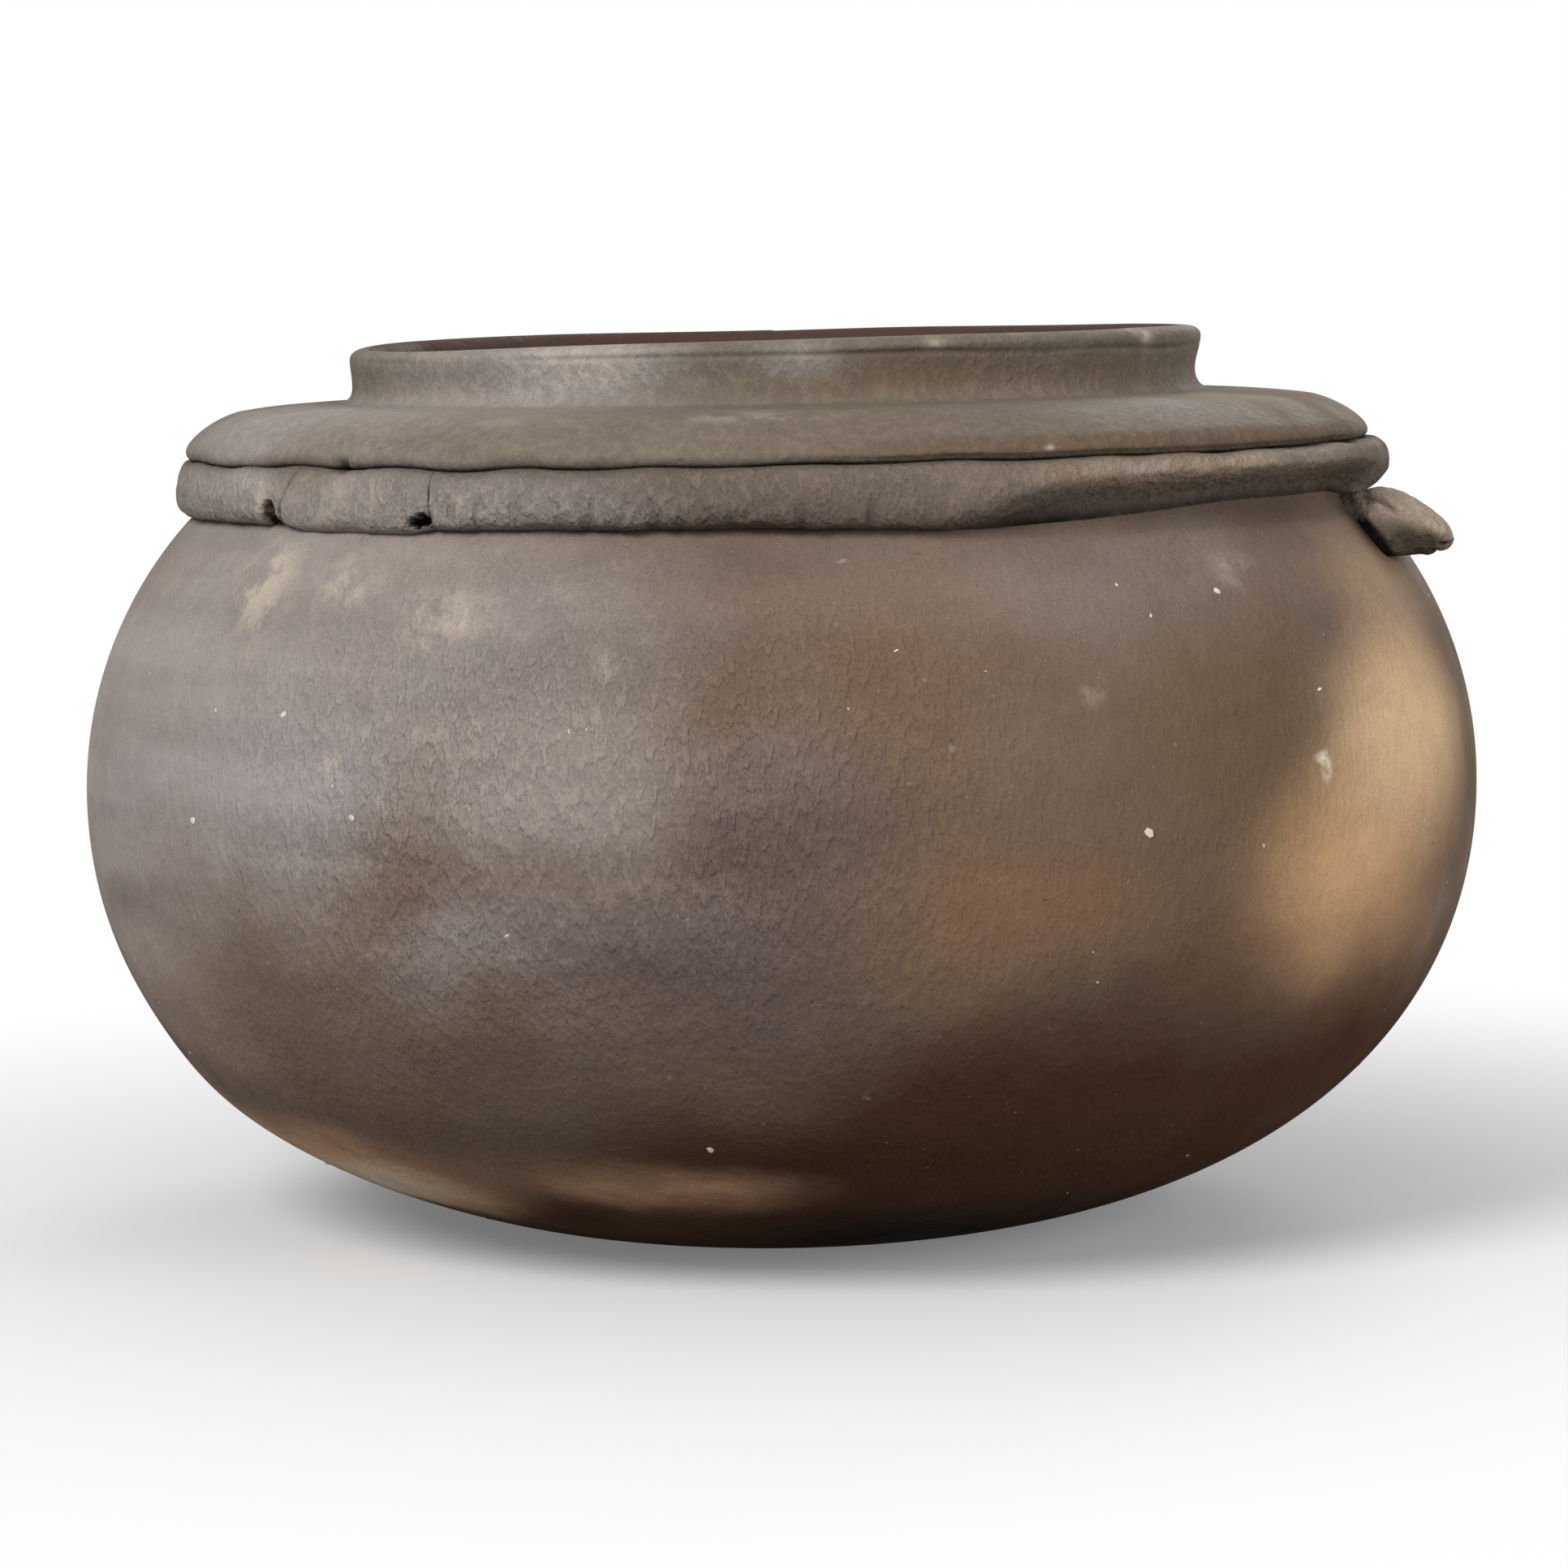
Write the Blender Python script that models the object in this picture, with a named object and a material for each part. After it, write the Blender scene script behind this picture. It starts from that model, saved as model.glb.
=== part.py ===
"""A squat, smoke-fired pottery vase, built up from the clay pieces that a potter lutes together.

A foot and four courses of clay make the bowl. A ledge, a neck and a rolled lip close it. A serpent lies
under the ledge: three lengths of coil that go once round the pot, and a head that stands out on the right.
Metres, +Z up. The origin is the middle of the flat foot, and the front faces -Y.
"""

import math

import bmesh
import bpy
from mathutils import Vector

# Driving dimensions of the bowl, as radius and height.
BELLY_RADIUS = 0.1250
BELLY_HEIGHT = 0.0772
FOOT_RADIUS = 0.0462
FOOT_LEAVES_AT = math.radians(9.7)
FOOT_HANDLE = 0.0506
BELLY_HANDLE = 0.0394
SHOULDER_ARC_RADIUS = 0.0716
SHOULDER_ARC_END = math.radians(48.0)
WALL_THICKNESS = 0.0065
FOOT_THICKNESS = 0.0085

# The ledge that overhangs the serpent.
LEDGE_RADIUS = 0.1058
LEDGE_NOSE_HEIGHT = 0.1389
LEDGE_UNDERSIDE_HEIGHT = 0.1378
LEDGE_CREST_RADIUS = 0.0952
LEDGE_CREST_HEIGHT = 0.1447
NOTCH_RADIUS = 0.1018

# The neck and its lip. The neck leans, so that the rim is higher on the right.
NECK_FOOT_RADIUS = 0.0780
NECK_FOOT_HEIGHT = 0.1465
NECK_WAIST_RADIUS = 0.0756
NECK_WAIST_HEIGHT = 0.1492
MOUTH_RADIUS = 0.0700
THROAT_DROP = 0.0030
LIP_RADIUS = 0.0763
LIP_JOINT_HEIGHT = 0.1538
LIP_NOSE_RISE = 0.0018
RIM_HEIGHT = 0.1576
RIM_TILT = math.radians(0.6)

# Joints between clay pieces: the film of slip, and how far a joint slants through the wall.
SLIP_GAP = 0.0003
JOINT_SLANT = 0.0035

# The serpent's coil. Angles run from the front, -Y, towards +X.
COIL_TOP_HEIGHT = 0.1373
COIL_TOP_RADIUS = 0.1046
COIL_FOOT_HEIGHT = 0.1275
PATCH_START = math.radians(-51.0)
PATCH_END = math.radians(-32.0)
FRONT_END = math.radians(84.0)
SEAM_GAP = 0.0004

# The serpent's head: its crown and jaw are curves from the wall to the snout, as radius and height.
HEAD_ANGLE = math.radians(74.0)
HEAD_CROWN = [(0.1071, 0.1250), (0.1122, 0.1323), (0.1176, 0.1276), (0.1221, 0.1216)]
HEAD_JAW = [(0.1139, 0.1162), (0.1155, 0.1180), (0.1190, 0.1184), (0.1218, 0.1202)]
HEAD_HALF_WIDTH = 0.0060
HEAD_ROOT_GAP = 0.0005

# Steps that round shapes are cut into.
TURN_STEPS = 60
CURVE_STEPS = 5
COIL_STEP = math.radians(5.0)
HEAD_SIDES = 14
HEAD_STEPS = 9

CLAY_COLOURS = {
    "foot": (0.085, 0.058, 0.042),
    "lower": (0.125, 0.092, 0.070),
    "upper": (0.200, 0.158, 0.128),
    "ledge": (0.215, 0.180, 0.150),
    "neck": (0.205, 0.172, 0.148),
    "lip": (0.240, 0.212, 0.182),
    "coil": (0.190, 0.155, 0.130),
    "head": (0.250, 0.195, 0.145),
}
CLAY_ROUGHNESS = 0.62


def clear_scene():
    for old in list(bpy.data.objects):
        bpy.data.objects.remove(old, do_unlink=True)


def fired_clay(name):
    material = bpy.data.materials.new("fired_clay_" + name)
    material.use_nodes = True
    shader = material.node_tree.nodes["Principled BSDF"]
    shader.inputs["Base Color"].default_value = (*CLAY_COLOURS[name], 1.0)
    shader.inputs["Roughness"].default_value = CLAY_ROUGHNESS
    shader.inputs["Metallic"].default_value = 0.0
    return material


# Outlines, as points of radius and height.


def bezier(start, handle_a, handle_b, end, share):
    """A point on a cubic curve, at a share from 0 to 1."""
    rest = 1.0 - share
    return (
        start * rest**3
        + handle_a * (3.0 * rest**2 * share)
        + handle_b * (3.0 * rest * share**2)
        + end * share**3
    )


def quarter_ellipse(start, end, flat_at_start, steps):
    """Points from start to end. The curve leaves start level, or else reaches end level."""
    points = []
    for i in range(steps + 1):
        turn = 0.5 * math.pi * i / steps
        if flat_at_start:
            across, along = math.sin(turn), 1.0 - math.cos(turn)
        else:
            across, along = 1.0 - math.cos(turn), math.sin(turn)
        points.append(Vector((start.x + (end.x - start.x) * across, start.y + (end.y - start.y) * along)))
    return points


def belly(place):
    """The outside of the bowl: place 0 is the foot's edge, 1 the widest part and 2 the shoulder."""
    if place <= 1.0:
        foot = Vector((FOOT_RADIUS, 0.0))
        widest = Vector((BELLY_RADIUS, BELLY_HEIGHT))
        leaving = Vector((math.cos(FOOT_LEAVES_AT), math.sin(FOOT_LEAVES_AT))) * FOOT_HANDLE
        return bezier(foot, foot + leaving, widest - Vector((0.0, BELLY_HANDLE)), widest, place)
    turn = SHOULDER_ARC_END * (place - 1.0)
    centre = Vector((BELLY_RADIUS - SHOULDER_ARC_RADIUS, BELLY_HEIGHT))
    return centre + Vector((math.cos(turn), math.sin(turn))) * SHOULDER_ARC_RADIUS


def belly_slope(place):
    """The direction in which the outside of the bowl climbs."""
    step = 1e-4
    return (belly(place + step) - belly(place - step)).normalized()


def belly_inside(place):
    climb = belly_slope(place)
    return belly(place) - Vector((climb.y, -climb.x)) * WALL_THICKNESS


def stretch(outline, start, end, steps=CURVE_STEPS):
    return [outline(start + (end - start) * i / steps) for i in range(steps + 1)]


def place_after(place, distance):
    """The place on the bowl's outline that lies a short distance further up it."""
    step = 1e-4
    return place + distance * 2.0 * step / (belly(place + step) - belly(place - step)).length


def course(low_joint, high_joint):
    """The section of one course of the bowl's wall, between two slanting joints."""
    outer_low = place_after(low_joint, 0.5 * SLIP_GAP)
    outer_high = place_after(high_joint, -0.5 * SLIP_GAP)
    inner_low = place_after(outer_low, -JOINT_SLANT)
    inner_high = place_after(outer_high, -JOINT_SLANT)
    return stretch(belly, outer_low, outer_high) + stretch(belly_inside, inner_high, inner_low)


# Places on the bowl's outline where one course ends and the next is laid on it.
COURSE_JOINTS = [0.22, 0.62, 1.10, 1.54, 1.98]
FOOT_JOINT = COURSE_JOINTS[0]
SHOULDER_JOINT = COURSE_JOINTS[-1]
COURSES = [("first_course", "lower"), ("second_course", "lower"), ("third_course", "upper"), ("fourth_course", "upper")]


def foot_section():
    """The pad that the pot stands on. Its outline starts and ends on the axis."""
    outer_high = place_after(FOOT_JOINT, -0.5 * SLIP_GAP)
    inner_high = place_after(outer_high, -JOINT_SLANT)
    edge = belly_inside(inner_high)
    dish = [
        Vector((edge.x * (1.0 - share), FOOT_THICKNESS + (edge.y - FOOT_THICKNESS) * (1.0 - share) ** 2))
        for share in (0.0, 0.33, 0.66, 1.0)
    ]
    return [Vector((0.0, 0.0))] + stretch(belly, 0.0, outer_high, 3) + dish


def ledge_section():
    """The shoulder ring: it sits on the bowl, stands out over the serpent and carries the neck."""
    outer_low = place_after(SHOULDER_JOINT, 0.5 * SLIP_GAP)
    inner_low = place_after(outer_low, -JOINT_SLANT)
    nose = Vector((LEDGE_RADIUS, LEDGE_NOSE_HEIGHT))
    crest = Vector((LEDGE_CREST_RADIUS, LEDGE_CREST_HEIGHT))
    underside = Vector((COIL_TOP_RADIUS, LEDGE_UNDERSIDE_HEIGHT))
    notch = Vector((NOTCH_RADIUS, LEDGE_UNDERSIDE_HEIGHT))
    outside = [belly(outer_low), notch] + quarter_ellipse(underside, nose, True, 3)
    outside += quarter_ellipse(nose, crest, False, 4)[1:]
    outside += [Vector((NECK_FOOT_RADIUS, NECK_FOOT_HEIGHT))]
    inner_seat = belly_inside(inner_low)
    throat = Vector((MOUTH_RADIUS, NECK_FOOT_HEIGHT - THROAT_DROP))
    below_throat = throat - Vector((0.0, THROAT_DROP))
    above_seat = inner_seat.lerp(Vector((inner_seat.x, throat.y)), 0.65)
    inside = [bezier(throat, below_throat, above_seat, inner_seat, i / 6.0) for i in range(7)]
    return outside + inside


def neck_section():
    """The short collar, waisted a little, from the ledge up to the lip."""
    rise = Vector((0.0, SLIP_GAP))
    seat = Vector((NECK_FOOT_RADIUS, NECK_FOOT_HEIGHT)) + rise
    waist = Vector((NECK_WAIST_RADIUS, NECK_WAIST_HEIGHT))
    inner_top = Vector((MOUTH_RADIUS, LIP_JOINT_HEIGHT))
    inner_seat = Vector((MOUTH_RADIUS, NECK_FOOT_HEIGHT - THROAT_DROP)) + rise
    outside = quarter_ellipse(seat, waist, True, 4) + [Vector((NECK_WAIST_RADIUS, LIP_JOINT_HEIGHT))]
    return outside + [inner_top, inner_top.lerp(inner_seat, 0.5), inner_seat]


def lip_section():
    """The rolled lip that closes the neck."""
    seat_height = LIP_JOINT_HEIGHT + SLIP_GAP
    nose_height = LIP_JOINT_HEIGHT + LIP_NOSE_RISE
    crown = Vector((0.5 * (LIP_RADIUS + MOUTH_RADIUS), RIM_HEIGHT))
    outside = [Vector((NECK_WAIST_RADIUS, seat_height))]
    outside += quarter_ellipse(Vector((LIP_RADIUS, nose_height)), crown, False, 3)
    inside = quarter_ellipse(crown, Vector((MOUTH_RADIUS, nose_height)), True, 3)[1:]
    return outside + inside + [Vector((MOUTH_RADIUS, seat_height))]


# Solids.


def settled(point):
    """The neck leans a little: above the ledge's crest the pot rises to the right."""
    share = (point.z - LEDGE_CREST_HEIGHT) / (RIM_HEIGHT - LEDGE_CREST_HEIGHT)
    share = min(1.0, max(0.0, share))
    return Vector((point.x, point.y, point.z + point.x * math.tan(RIM_TILT) * share))


def around(outline_point, angle):
    """A point of an outline, turned to an angle from the front."""
    radius, height = outline_point
    return Vector((radius * math.sin(angle), -radius * math.cos(angle), height))


def finished(name, shape, clay):
    """Turns a closed bmesh into a named object with smooth faces."""
    bmesh.ops.recalc_face_normals(shape, faces=shape.faces[:])
    mesh = bpy.data.meshes.new(name)
    shape.to_mesh(mesh)
    shape.free()
    mesh.materials.append(fired_clay(clay))
    mesh.shade_smooth()
    mesh.set_sharp_from_angle(angle=math.radians(35.0))
    made = bpy.data.objects.new(name, mesh)
    bpy.context.scene.collection.objects.link(made)
    return made


def turned(name, section, clay):
    """A solid of revolution. A section that starts on the axis is open there, and its poles are merged."""
    shape = bmesh.new()
    corners = [shape.verts.new(around(point, 0.0)) for point in section]
    on_axis = section[0].x < 1e-6
    last = len(corners) - 1 if on_axis else len(corners)
    edges = [shape.edges.new((corners[i], corners[(i + 1) % len(corners)])) for i in range(last)]
    bmesh.ops.spin(
        shape,
        geom=corners + edges,
        cent=(0.0, 0.0, 0.0),
        axis=(0.0, 0.0, 1.0),
        angle=2.0 * math.pi,
        steps=TURN_STEPS,
        use_merge=True,
    )
    bmesh.ops.remove_doubles(shape, verts=shape.verts[:], dist=1e-6)
    for corner in shape.verts:
        corner.co = settled(corner.co)
    return finished(name, shape, clay)


def lofted(name, rings, clay):
    """A closed solid through a row of rings, capped at both ends."""
    shape = bmesh.new()
    loops = [[shape.verts.new(point) for point in ring] for ring in rings]
    rims = []
    for loop in loops:
        rims.append([shape.edges.new((loop[i - 1], loop[i])) for i in range(len(loop))])
    for near, far in zip(rims, rims[1:]):
        bmesh.ops.bridge_loops(shape, edges=near + far)
    shape.faces.new(loops[0])
    shape.faces.new(loops[-1])
    return finished(name, shape, clay)


def mix_by_angle(angle, stops):
    """A value that eases from one stop to the next, each stop an angle in degrees and a value."""
    degrees = math.degrees(angle)
    if degrees <= stops[0][0]:
        return stops[0][1]
    for (start, low), (end, high) in zip(stops, stops[1:]):
        if degrees <= end:
            share = (degrees - start) / (end - start)
            share = share * share * (3.0 - 2.0 * share)
            return low + (high - low) * share
    return stops[-1][1]


# How far the coil stands out, and how far down its section the ridge lies, at angles round the pot.
COIL_REACH = [(-180, 0.1088), (-90, 0.1078), (0, 0.1090), (90, 0.1100), (180, 0.1088)]
COIL_RIDGE = [(-180, 0.60), (-60, 0.69), (10, 0.62), (35, 0.38), (66, 0.38), (95, 0.56), (180, 0.60)]


def wall_radius(height):
    """The radius of the bowl's outside at a height on the shoulder."""
    rise = height - BELLY_HEIGHT
    return BELLY_RADIUS - SHOULDER_ARC_RADIUS + math.sqrt(SHOULDER_ARC_RADIUS**2 - rise**2)


def coil_ring(angle):
    """The coil's section at one angle: flat against the wall and the notch, rounded outside."""
    wrapped = (angle + math.pi) % (2.0 * math.pi) - math.pi
    depth = COIL_TOP_HEIGHT - COIL_FOOT_HEIGHT
    ridge_height = COIL_TOP_HEIGHT - depth * mix_by_angle(wrapped, COIL_RIDGE)
    ridge = Vector((mix_by_angle(wrapped, COIL_REACH), ridge_height))
    top = Vector((COIL_TOP_RADIUS, COIL_TOP_HEIGHT))
    foot = Vector((wall_radius(COIL_FOOT_HEIGHT) + SLIP_GAP, COIL_FOOT_HEIGHT))
    seat = belly(SHOULDER_JOINT) + Vector((SLIP_GAP, SLIP_GAP))
    back = Vector((NOTCH_RADIUS + SLIP_GAP, COIL_TOP_HEIGHT))
    outside = quarter_ellipse(top, ridge, True, 4) + quarter_ellipse(ridge, foot, False, 4)[1:]
    return [around(point, angle) for point in outside + [seat, back]]


def coil_length(name, start, end):
    half_seam = 0.5 * SEAM_GAP / COIL_TOP_RADIUS
    start, end = start + half_seam, end - half_seam
    steps = max(2, round((end - start) / COIL_STEP))
    rings = [coil_ring(start + (end - start) * i / steps) for i in range(steps + 1)]
    return lofted(name, rings, "coil")


def head_ring(share):
    """One section of the head, a share of the way from the wall to the snout."""
    crown = bezier(*[Vector(point) for point in HEAD_CROWN], share)
    jaw = bezier(*[Vector(point) for point in HEAD_JAW], share)
    half_width = HEAD_HALF_WIDTH * math.sqrt(1.0 - 0.93 * share**2.5)
    outward = around((1.0, 0.0), HEAD_ANGLE)
    sideways = around((1.0, 0.0), HEAD_ANGLE + 0.5 * math.pi)
    ring = []
    for i in range(HEAD_SIDES):
        turn = 2.0 * math.pi * i / HEAD_SIDES
        middle = jaw.lerp(crown, 0.5 + 0.5 * math.sin(turn))
        across = half_width * math.cos(turn)
        reach = middle.x
        if share == 0.0:
            reach = math.sqrt((wall_radius(middle.y) + HEAD_ROOT_GAP) ** 2 - across**2)
        ring.append(outward * reach + sideways * across + Vector((0.0, 0.0, middle.y)))
    return ring


def head():
    """The serpent's head: a blunt wedge that droops to its snout, with a root that fits the wall."""
    rings = [head_ring(i / HEAD_STEPS) for i in range(HEAD_STEPS + 1)]
    return lofted("serpent_head", rings, "head")


def build():
    clear_scene()
    turned("foot_pad", foot_section(), "foot")
    for (name, clay), low, high in zip(COURSES, COURSE_JOINTS, COURSE_JOINTS[1:]):
        turned(name, course(low, high), clay)
    turned("shoulder_ledge", ledge_section(), "ledge")
    turned("neck_collar", neck_section(), "neck")
    turned("rolled_lip", lip_section(), "lip")
    coil_length("serpent_coil_patch", PATCH_START, PATCH_END)
    coil_length("serpent_coil_front", PATCH_END, FRONT_END)
    coil_length("serpent_coil_back", FRONT_END, PATCH_START + 2.0 * math.pi)
    head()


build()
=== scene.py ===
"""Pottery vase, dressed: a smoke-fired pot built by hand, with a serpent laid round its shoulder.

Metres, +Z up. The middle of the foot is the origin, the front faces -Y and the serpent's head looks to +X.
Angles round the pot run from the front towards the head.
"""

import math
from collections import namedtuple

import bpy
import numpy as np
from bpy.props import FloatProperty, FloatVectorProperty, IntProperty, PointerProperty
from mathutils import Matrix, Vector


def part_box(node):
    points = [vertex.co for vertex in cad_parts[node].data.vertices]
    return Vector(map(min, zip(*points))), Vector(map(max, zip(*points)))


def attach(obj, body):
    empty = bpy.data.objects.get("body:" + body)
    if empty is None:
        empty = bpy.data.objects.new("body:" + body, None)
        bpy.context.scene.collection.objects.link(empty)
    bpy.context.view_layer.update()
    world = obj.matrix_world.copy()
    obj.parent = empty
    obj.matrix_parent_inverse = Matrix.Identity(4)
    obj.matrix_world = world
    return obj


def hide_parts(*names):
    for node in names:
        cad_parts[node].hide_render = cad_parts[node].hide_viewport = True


bl_info = {
    "name": "Serpent Vase",
    "version": (1, 0, 0),
    "blender": (4, 5, 0),
    "location": "3D View > Sidebar > Vase",
    "description": "Dresses the packed frame of a hand-built, smoke-fired vase",
    "category": "Object",
}

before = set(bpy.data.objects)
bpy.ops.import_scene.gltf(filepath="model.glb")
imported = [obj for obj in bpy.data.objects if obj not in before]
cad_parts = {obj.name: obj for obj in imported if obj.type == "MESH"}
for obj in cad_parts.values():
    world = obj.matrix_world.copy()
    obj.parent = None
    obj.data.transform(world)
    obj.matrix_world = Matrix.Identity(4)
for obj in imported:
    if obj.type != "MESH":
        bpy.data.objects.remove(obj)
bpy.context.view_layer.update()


# Settings


def length(name, description, default):
    """A size, in metres."""
    return FloatProperty(name=name, description=description, default=default, unit="LENGTH", precision=4)


def colour(name, description, default):
    """A colour, as shares of red, green and blue light."""
    return FloatVectorProperty(
        name=name, description=description, default=default, subtype="COLOR", min=0.0, max=1.0
    )


def tilt(name, description, degrees):
    """An angle, given in degrees and kept in radians."""
    return FloatProperty(name=name, description=description, default=math.radians(degrees), unit="ROTATION")


def power(name, description, default):
    """The power of a lamp, in watts."""
    return FloatProperty(name=name, description=description, default=default, unit="POWER")


def node_reach(node):
    """How far a node of the frame stands out from the axis."""
    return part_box(node)[1].x


def node_top(node):
    """How high a node of the frame goes."""
    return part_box(node)[1].z


# How thick the lip is at the mouth, and the room that is left above it for its lean.
LIP_THICKNESS = 0.0063
ROOM_FOR_LEAN = 0.0008
MOUTH_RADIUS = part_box("rolled_lip")[1].y - LIP_THICKNESS
RIM_HEIGHT = node_top("rolled_lip") - ROOM_FOR_LEAN


class VaseSizes(bpy.types.PropertyGroup):
    """Sizes of the pot. Those that the frame fixes are read from its nodes."""

    belly_radius: length("Belly radius", "Half the width at the widest part", node_reach("second_course"))
    belly_height: length("Belly height", "Height of the widest part", 0.0772)
    foot_radius: length("Foot radius", "Half the width of the flat foot", 0.0462)
    shoulder_arc: length("Shoulder arc", "Radius of the arc from the belly to the shoulder", 0.0716)
    wall: length("Wall", "Thickness of the wall", 0.0065)
    foot_thickness: length("Foot thickness", "Thickness of the clay in the middle of the foot", 0.0085)
    ledge_radius: length("Ledge radius", "Reach of the ledge's nose", node_reach("shoulder_ledge"))
    ledge_nose: length("Ledge nose", "Height of the ledge's nose", 0.1386)
    groove: length("Groove", "Height of the groove between the ledge and the serpent", 0.1375)
    notch_radius: length("Notch radius", "How deep the groove goes in", 0.1018)
    crest_radius: length("Crest radius", "Radius at which the ledge turns level", 0.0965)
    crest_height: length("Crest height", "Height at which the ledge turns level", 0.1453)
    shelf_height: length("Shelf height", "Height of the ledge where it meets the neck", 0.1466)
    neck_radius: length("Neck radius", "Half the width of the neck's waist", 0.0756)
    mouth_radius: length("Mouth radius", "Half the width of the mouth", MOUTH_RADIUS)
    lip_radius: length("Lip radius", "Reach of the lip", node_reach("rolled_lip"))
    rim_height: length("Rim height", "Height of the rim", RIM_HEIGHT)
    coil_top: length("Coil top", "Height of the serpent's back", node_top("serpent_coil_front"))
    coil_foot: length("Coil foot", "Height of the serpent's belly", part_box("serpent_coil_front")[0].z)
    rim_tilt: tilt("Rim tilt", "How far the rim leans", 0.5)
    grain_count: IntProperty(
        name="Grains", description="Temper grains in a square metre of wall", default=700
    )


class VaseColours(bpy.types.PropertyGroup):
    """Colours that the fire left on the clay, some of which also paint shade and highlight."""

    umber: colour("Umber", "Clay where the fire was even", (0.165, 0.118, 0.092))
    ash: colour("Ash", "Pale grey clay", (0.330, 0.292, 0.268))
    # Haze also paints a highlight on the left of the belly.
    haze: colour("Haze", "Cool bloom on the pale clay", (0.350, 0.322, 0.318))
    drab: colour("Drab", "Grey-green clay of the neck and the ledge", (0.185, 0.157, 0.124))
    slate: colour("Slate", "Clay with a violet bloom", (0.122, 0.090, 0.088))
    russet: colour("Russet", "Warm brown clay", (0.178, 0.108, 0.063))
    olive: colour("Olive", "Drab clay beside the flash", (0.150, 0.104, 0.061))
    ochre: colour("Ochre", "Flash where flame reached the clay", (0.820, 0.565, 0.335))
    amber: colour("Amber", "Deeper flash lower down", (0.780, 0.470, 0.245))
    cream: colour("Cream", "Bare rubbed clay", (0.520, 0.440, 0.360))
    chalk: colour("Chalk", "Pale temper", (0.860, 0.750, 0.590))
    tan: colour("Tan", "Warm flash near the foot", (0.720, 0.455, 0.290))
    # Soot also paints shade towards the foot and under the serpent.
    soot_and_shade: colour("Soot", "Smoke black", (0.076, 0.036, 0.019))
    # Char also paints the shade in the groove, the holes, the creases and under the serpent and its head.
    char: colour("Char", "Deepest black, at the foot", (0.010, 0.008, 0.006))
    ember: colour("Ember", "Reddish clay inside the pot", (0.080, 0.048, 0.038))


class VaseStage(bpy.types.PropertyGroup):
    """The floor, the lamps and the camera."""

    floor: colour("Floor", "Colour of the floor", (0.90, 0.90, 0.90))
    lens: FloatProperty(name="Lens", description="Focal length", default=121.1, unit="CAMERA")
    distance: length("Distance", "From the camera to the pot's axis", 0.9533)
    pitch: tilt("Pitch", "How far the camera looks down", 5.5)
    roll: tilt("Roll", "How far the picture leans", 0.943)
    key: power("Key lamp", "Power of the lamp on the left", 21.0)
    fill: power("Fill lamp", "Power of the lamp on the right", 8.5)
    back: power("Back lamp", "Power of the lamp behind the pot", 9.0)
    sky: FloatProperty(name="Sky", description="Strength of the light from all round", default=0.36)


# Shapes of the outline, as radius and height


def smooth(low, high, value):
    """Eases from 0 at low to 1 at high."""
    share = np.clip((value - low) / (high - low), 0.0, 1.0)
    return share * share * (3.0 - 2.0 * share)


def near(value, middle, width):
    """1 at the middle, fading to 0 over about twice the width."""
    return np.exp(-(((value - middle) / width) ** 2))


def bezier(points, shares):
    """Points of a cubic curve, at shares of the way along it."""
    a, b, c, d = (np.array(point) for point in points)
    t = np.asarray(shares, dtype=float)[..., None]
    return a * (1 - t) ** 3 + b * 3 * (1 - t) ** 2 * t + c * 3 * (1 - t) * t**2 + d * t**3


FOOT_LEAVES_AT = math.radians(9.7)
FOOT_HANDLE = 0.0506
BELLY_HANDLE = 0.0394
SHOULDER_ARC_END = math.radians(48.0)
COURSE_JOINTS = [0.22, 0.62, 1.10, 1.54, 1.98]
INNER_JOINT_DROP = 0.05
ROW_STEP = 0.0010
INNER_ROW_STEP = 0.0020
COLUMNS = 540
FINE_PLACES = 200
FILLET_REACH = 0.0030
FILLET_RISE = 0.0034
FLARE_JOINT = 0.5
LIP_NOSE_DROP = 0.0019
LIP_BORE_DROP = 0.0036
THROAT_DROP = 0.0140


def belly(sizes, places):
    """The outside of the bowl: place 0 is the foot's edge, 1 the widest part and 2 the shoulder."""
    places = np.asarray(places, dtype=float)
    foot = np.array([sizes.foot_radius, 0.0])
    widest = np.array([sizes.belly_radius, sizes.belly_height])
    leaving = FOOT_HANDLE * np.array([math.cos(FOOT_LEAVES_AT), math.sin(FOOT_LEAVES_AT)])
    low = bezier([foot, foot + leaving, widest - [0.0, BELLY_HANDLE], widest], np.minimum(places, 1.0))
    turn = SHOULDER_ARC_END * np.maximum(places - 1.0, 0.0)
    arc = np.stack([np.cos(turn) - 1.0, np.sin(turn)], axis=-1) * sizes.shoulder_arc
    return np.where(places[..., None] <= 1.0, low, widest + arc)


def belly_inside(sizes, places):
    """The inside of the bowl, one thickness of the wall in from the outside."""
    step = 1e-3
    climb = belly(sizes, places + step) - belly(sizes, places - step)
    climb /= np.linalg.norm(climb, axis=-1, keepdims=True)
    inward = np.stack([-climb[..., 1], climb[..., 0]], axis=-1)
    return belly(sizes, places) + inward * sizes.wall


def even_places(outline, sizes, start, end, step):
    """Places from start to end, one for each step of the outline's length."""
    fine = np.linspace(start, end, FINE_PLACES)
    points = outline(sizes, fine)
    run = np.concatenate([[0.0], np.cumsum(np.linalg.norm(np.diff(points, axis=0), axis=1))])
    count = max(2, math.ceil(run[-1] / step) + 1)
    return np.interp(np.linspace(0.0, run[-1], count), run, fine)


def stretch(outline, sizes, start, end, step):
    """Points of an outline from start to end, a step apart."""
    return outline(sizes, even_places(outline, sizes, start, end, step))


def wall_radius(sizes, height):
    """Radius of the bowl's outside at a height above the belly."""
    rise = np.clip(height - sizes.belly_height, 0.0, sizes.shoulder_arc * 0.99)
    return sizes.belly_radius - sizes.shoulder_arc + np.sqrt(sizes.shoulder_arc**2 - rise**2)


def rows(points, count):
    """A cubic curve cut into rows."""
    return bezier(points, np.linspace(0.0, 1.0, count))


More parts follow.
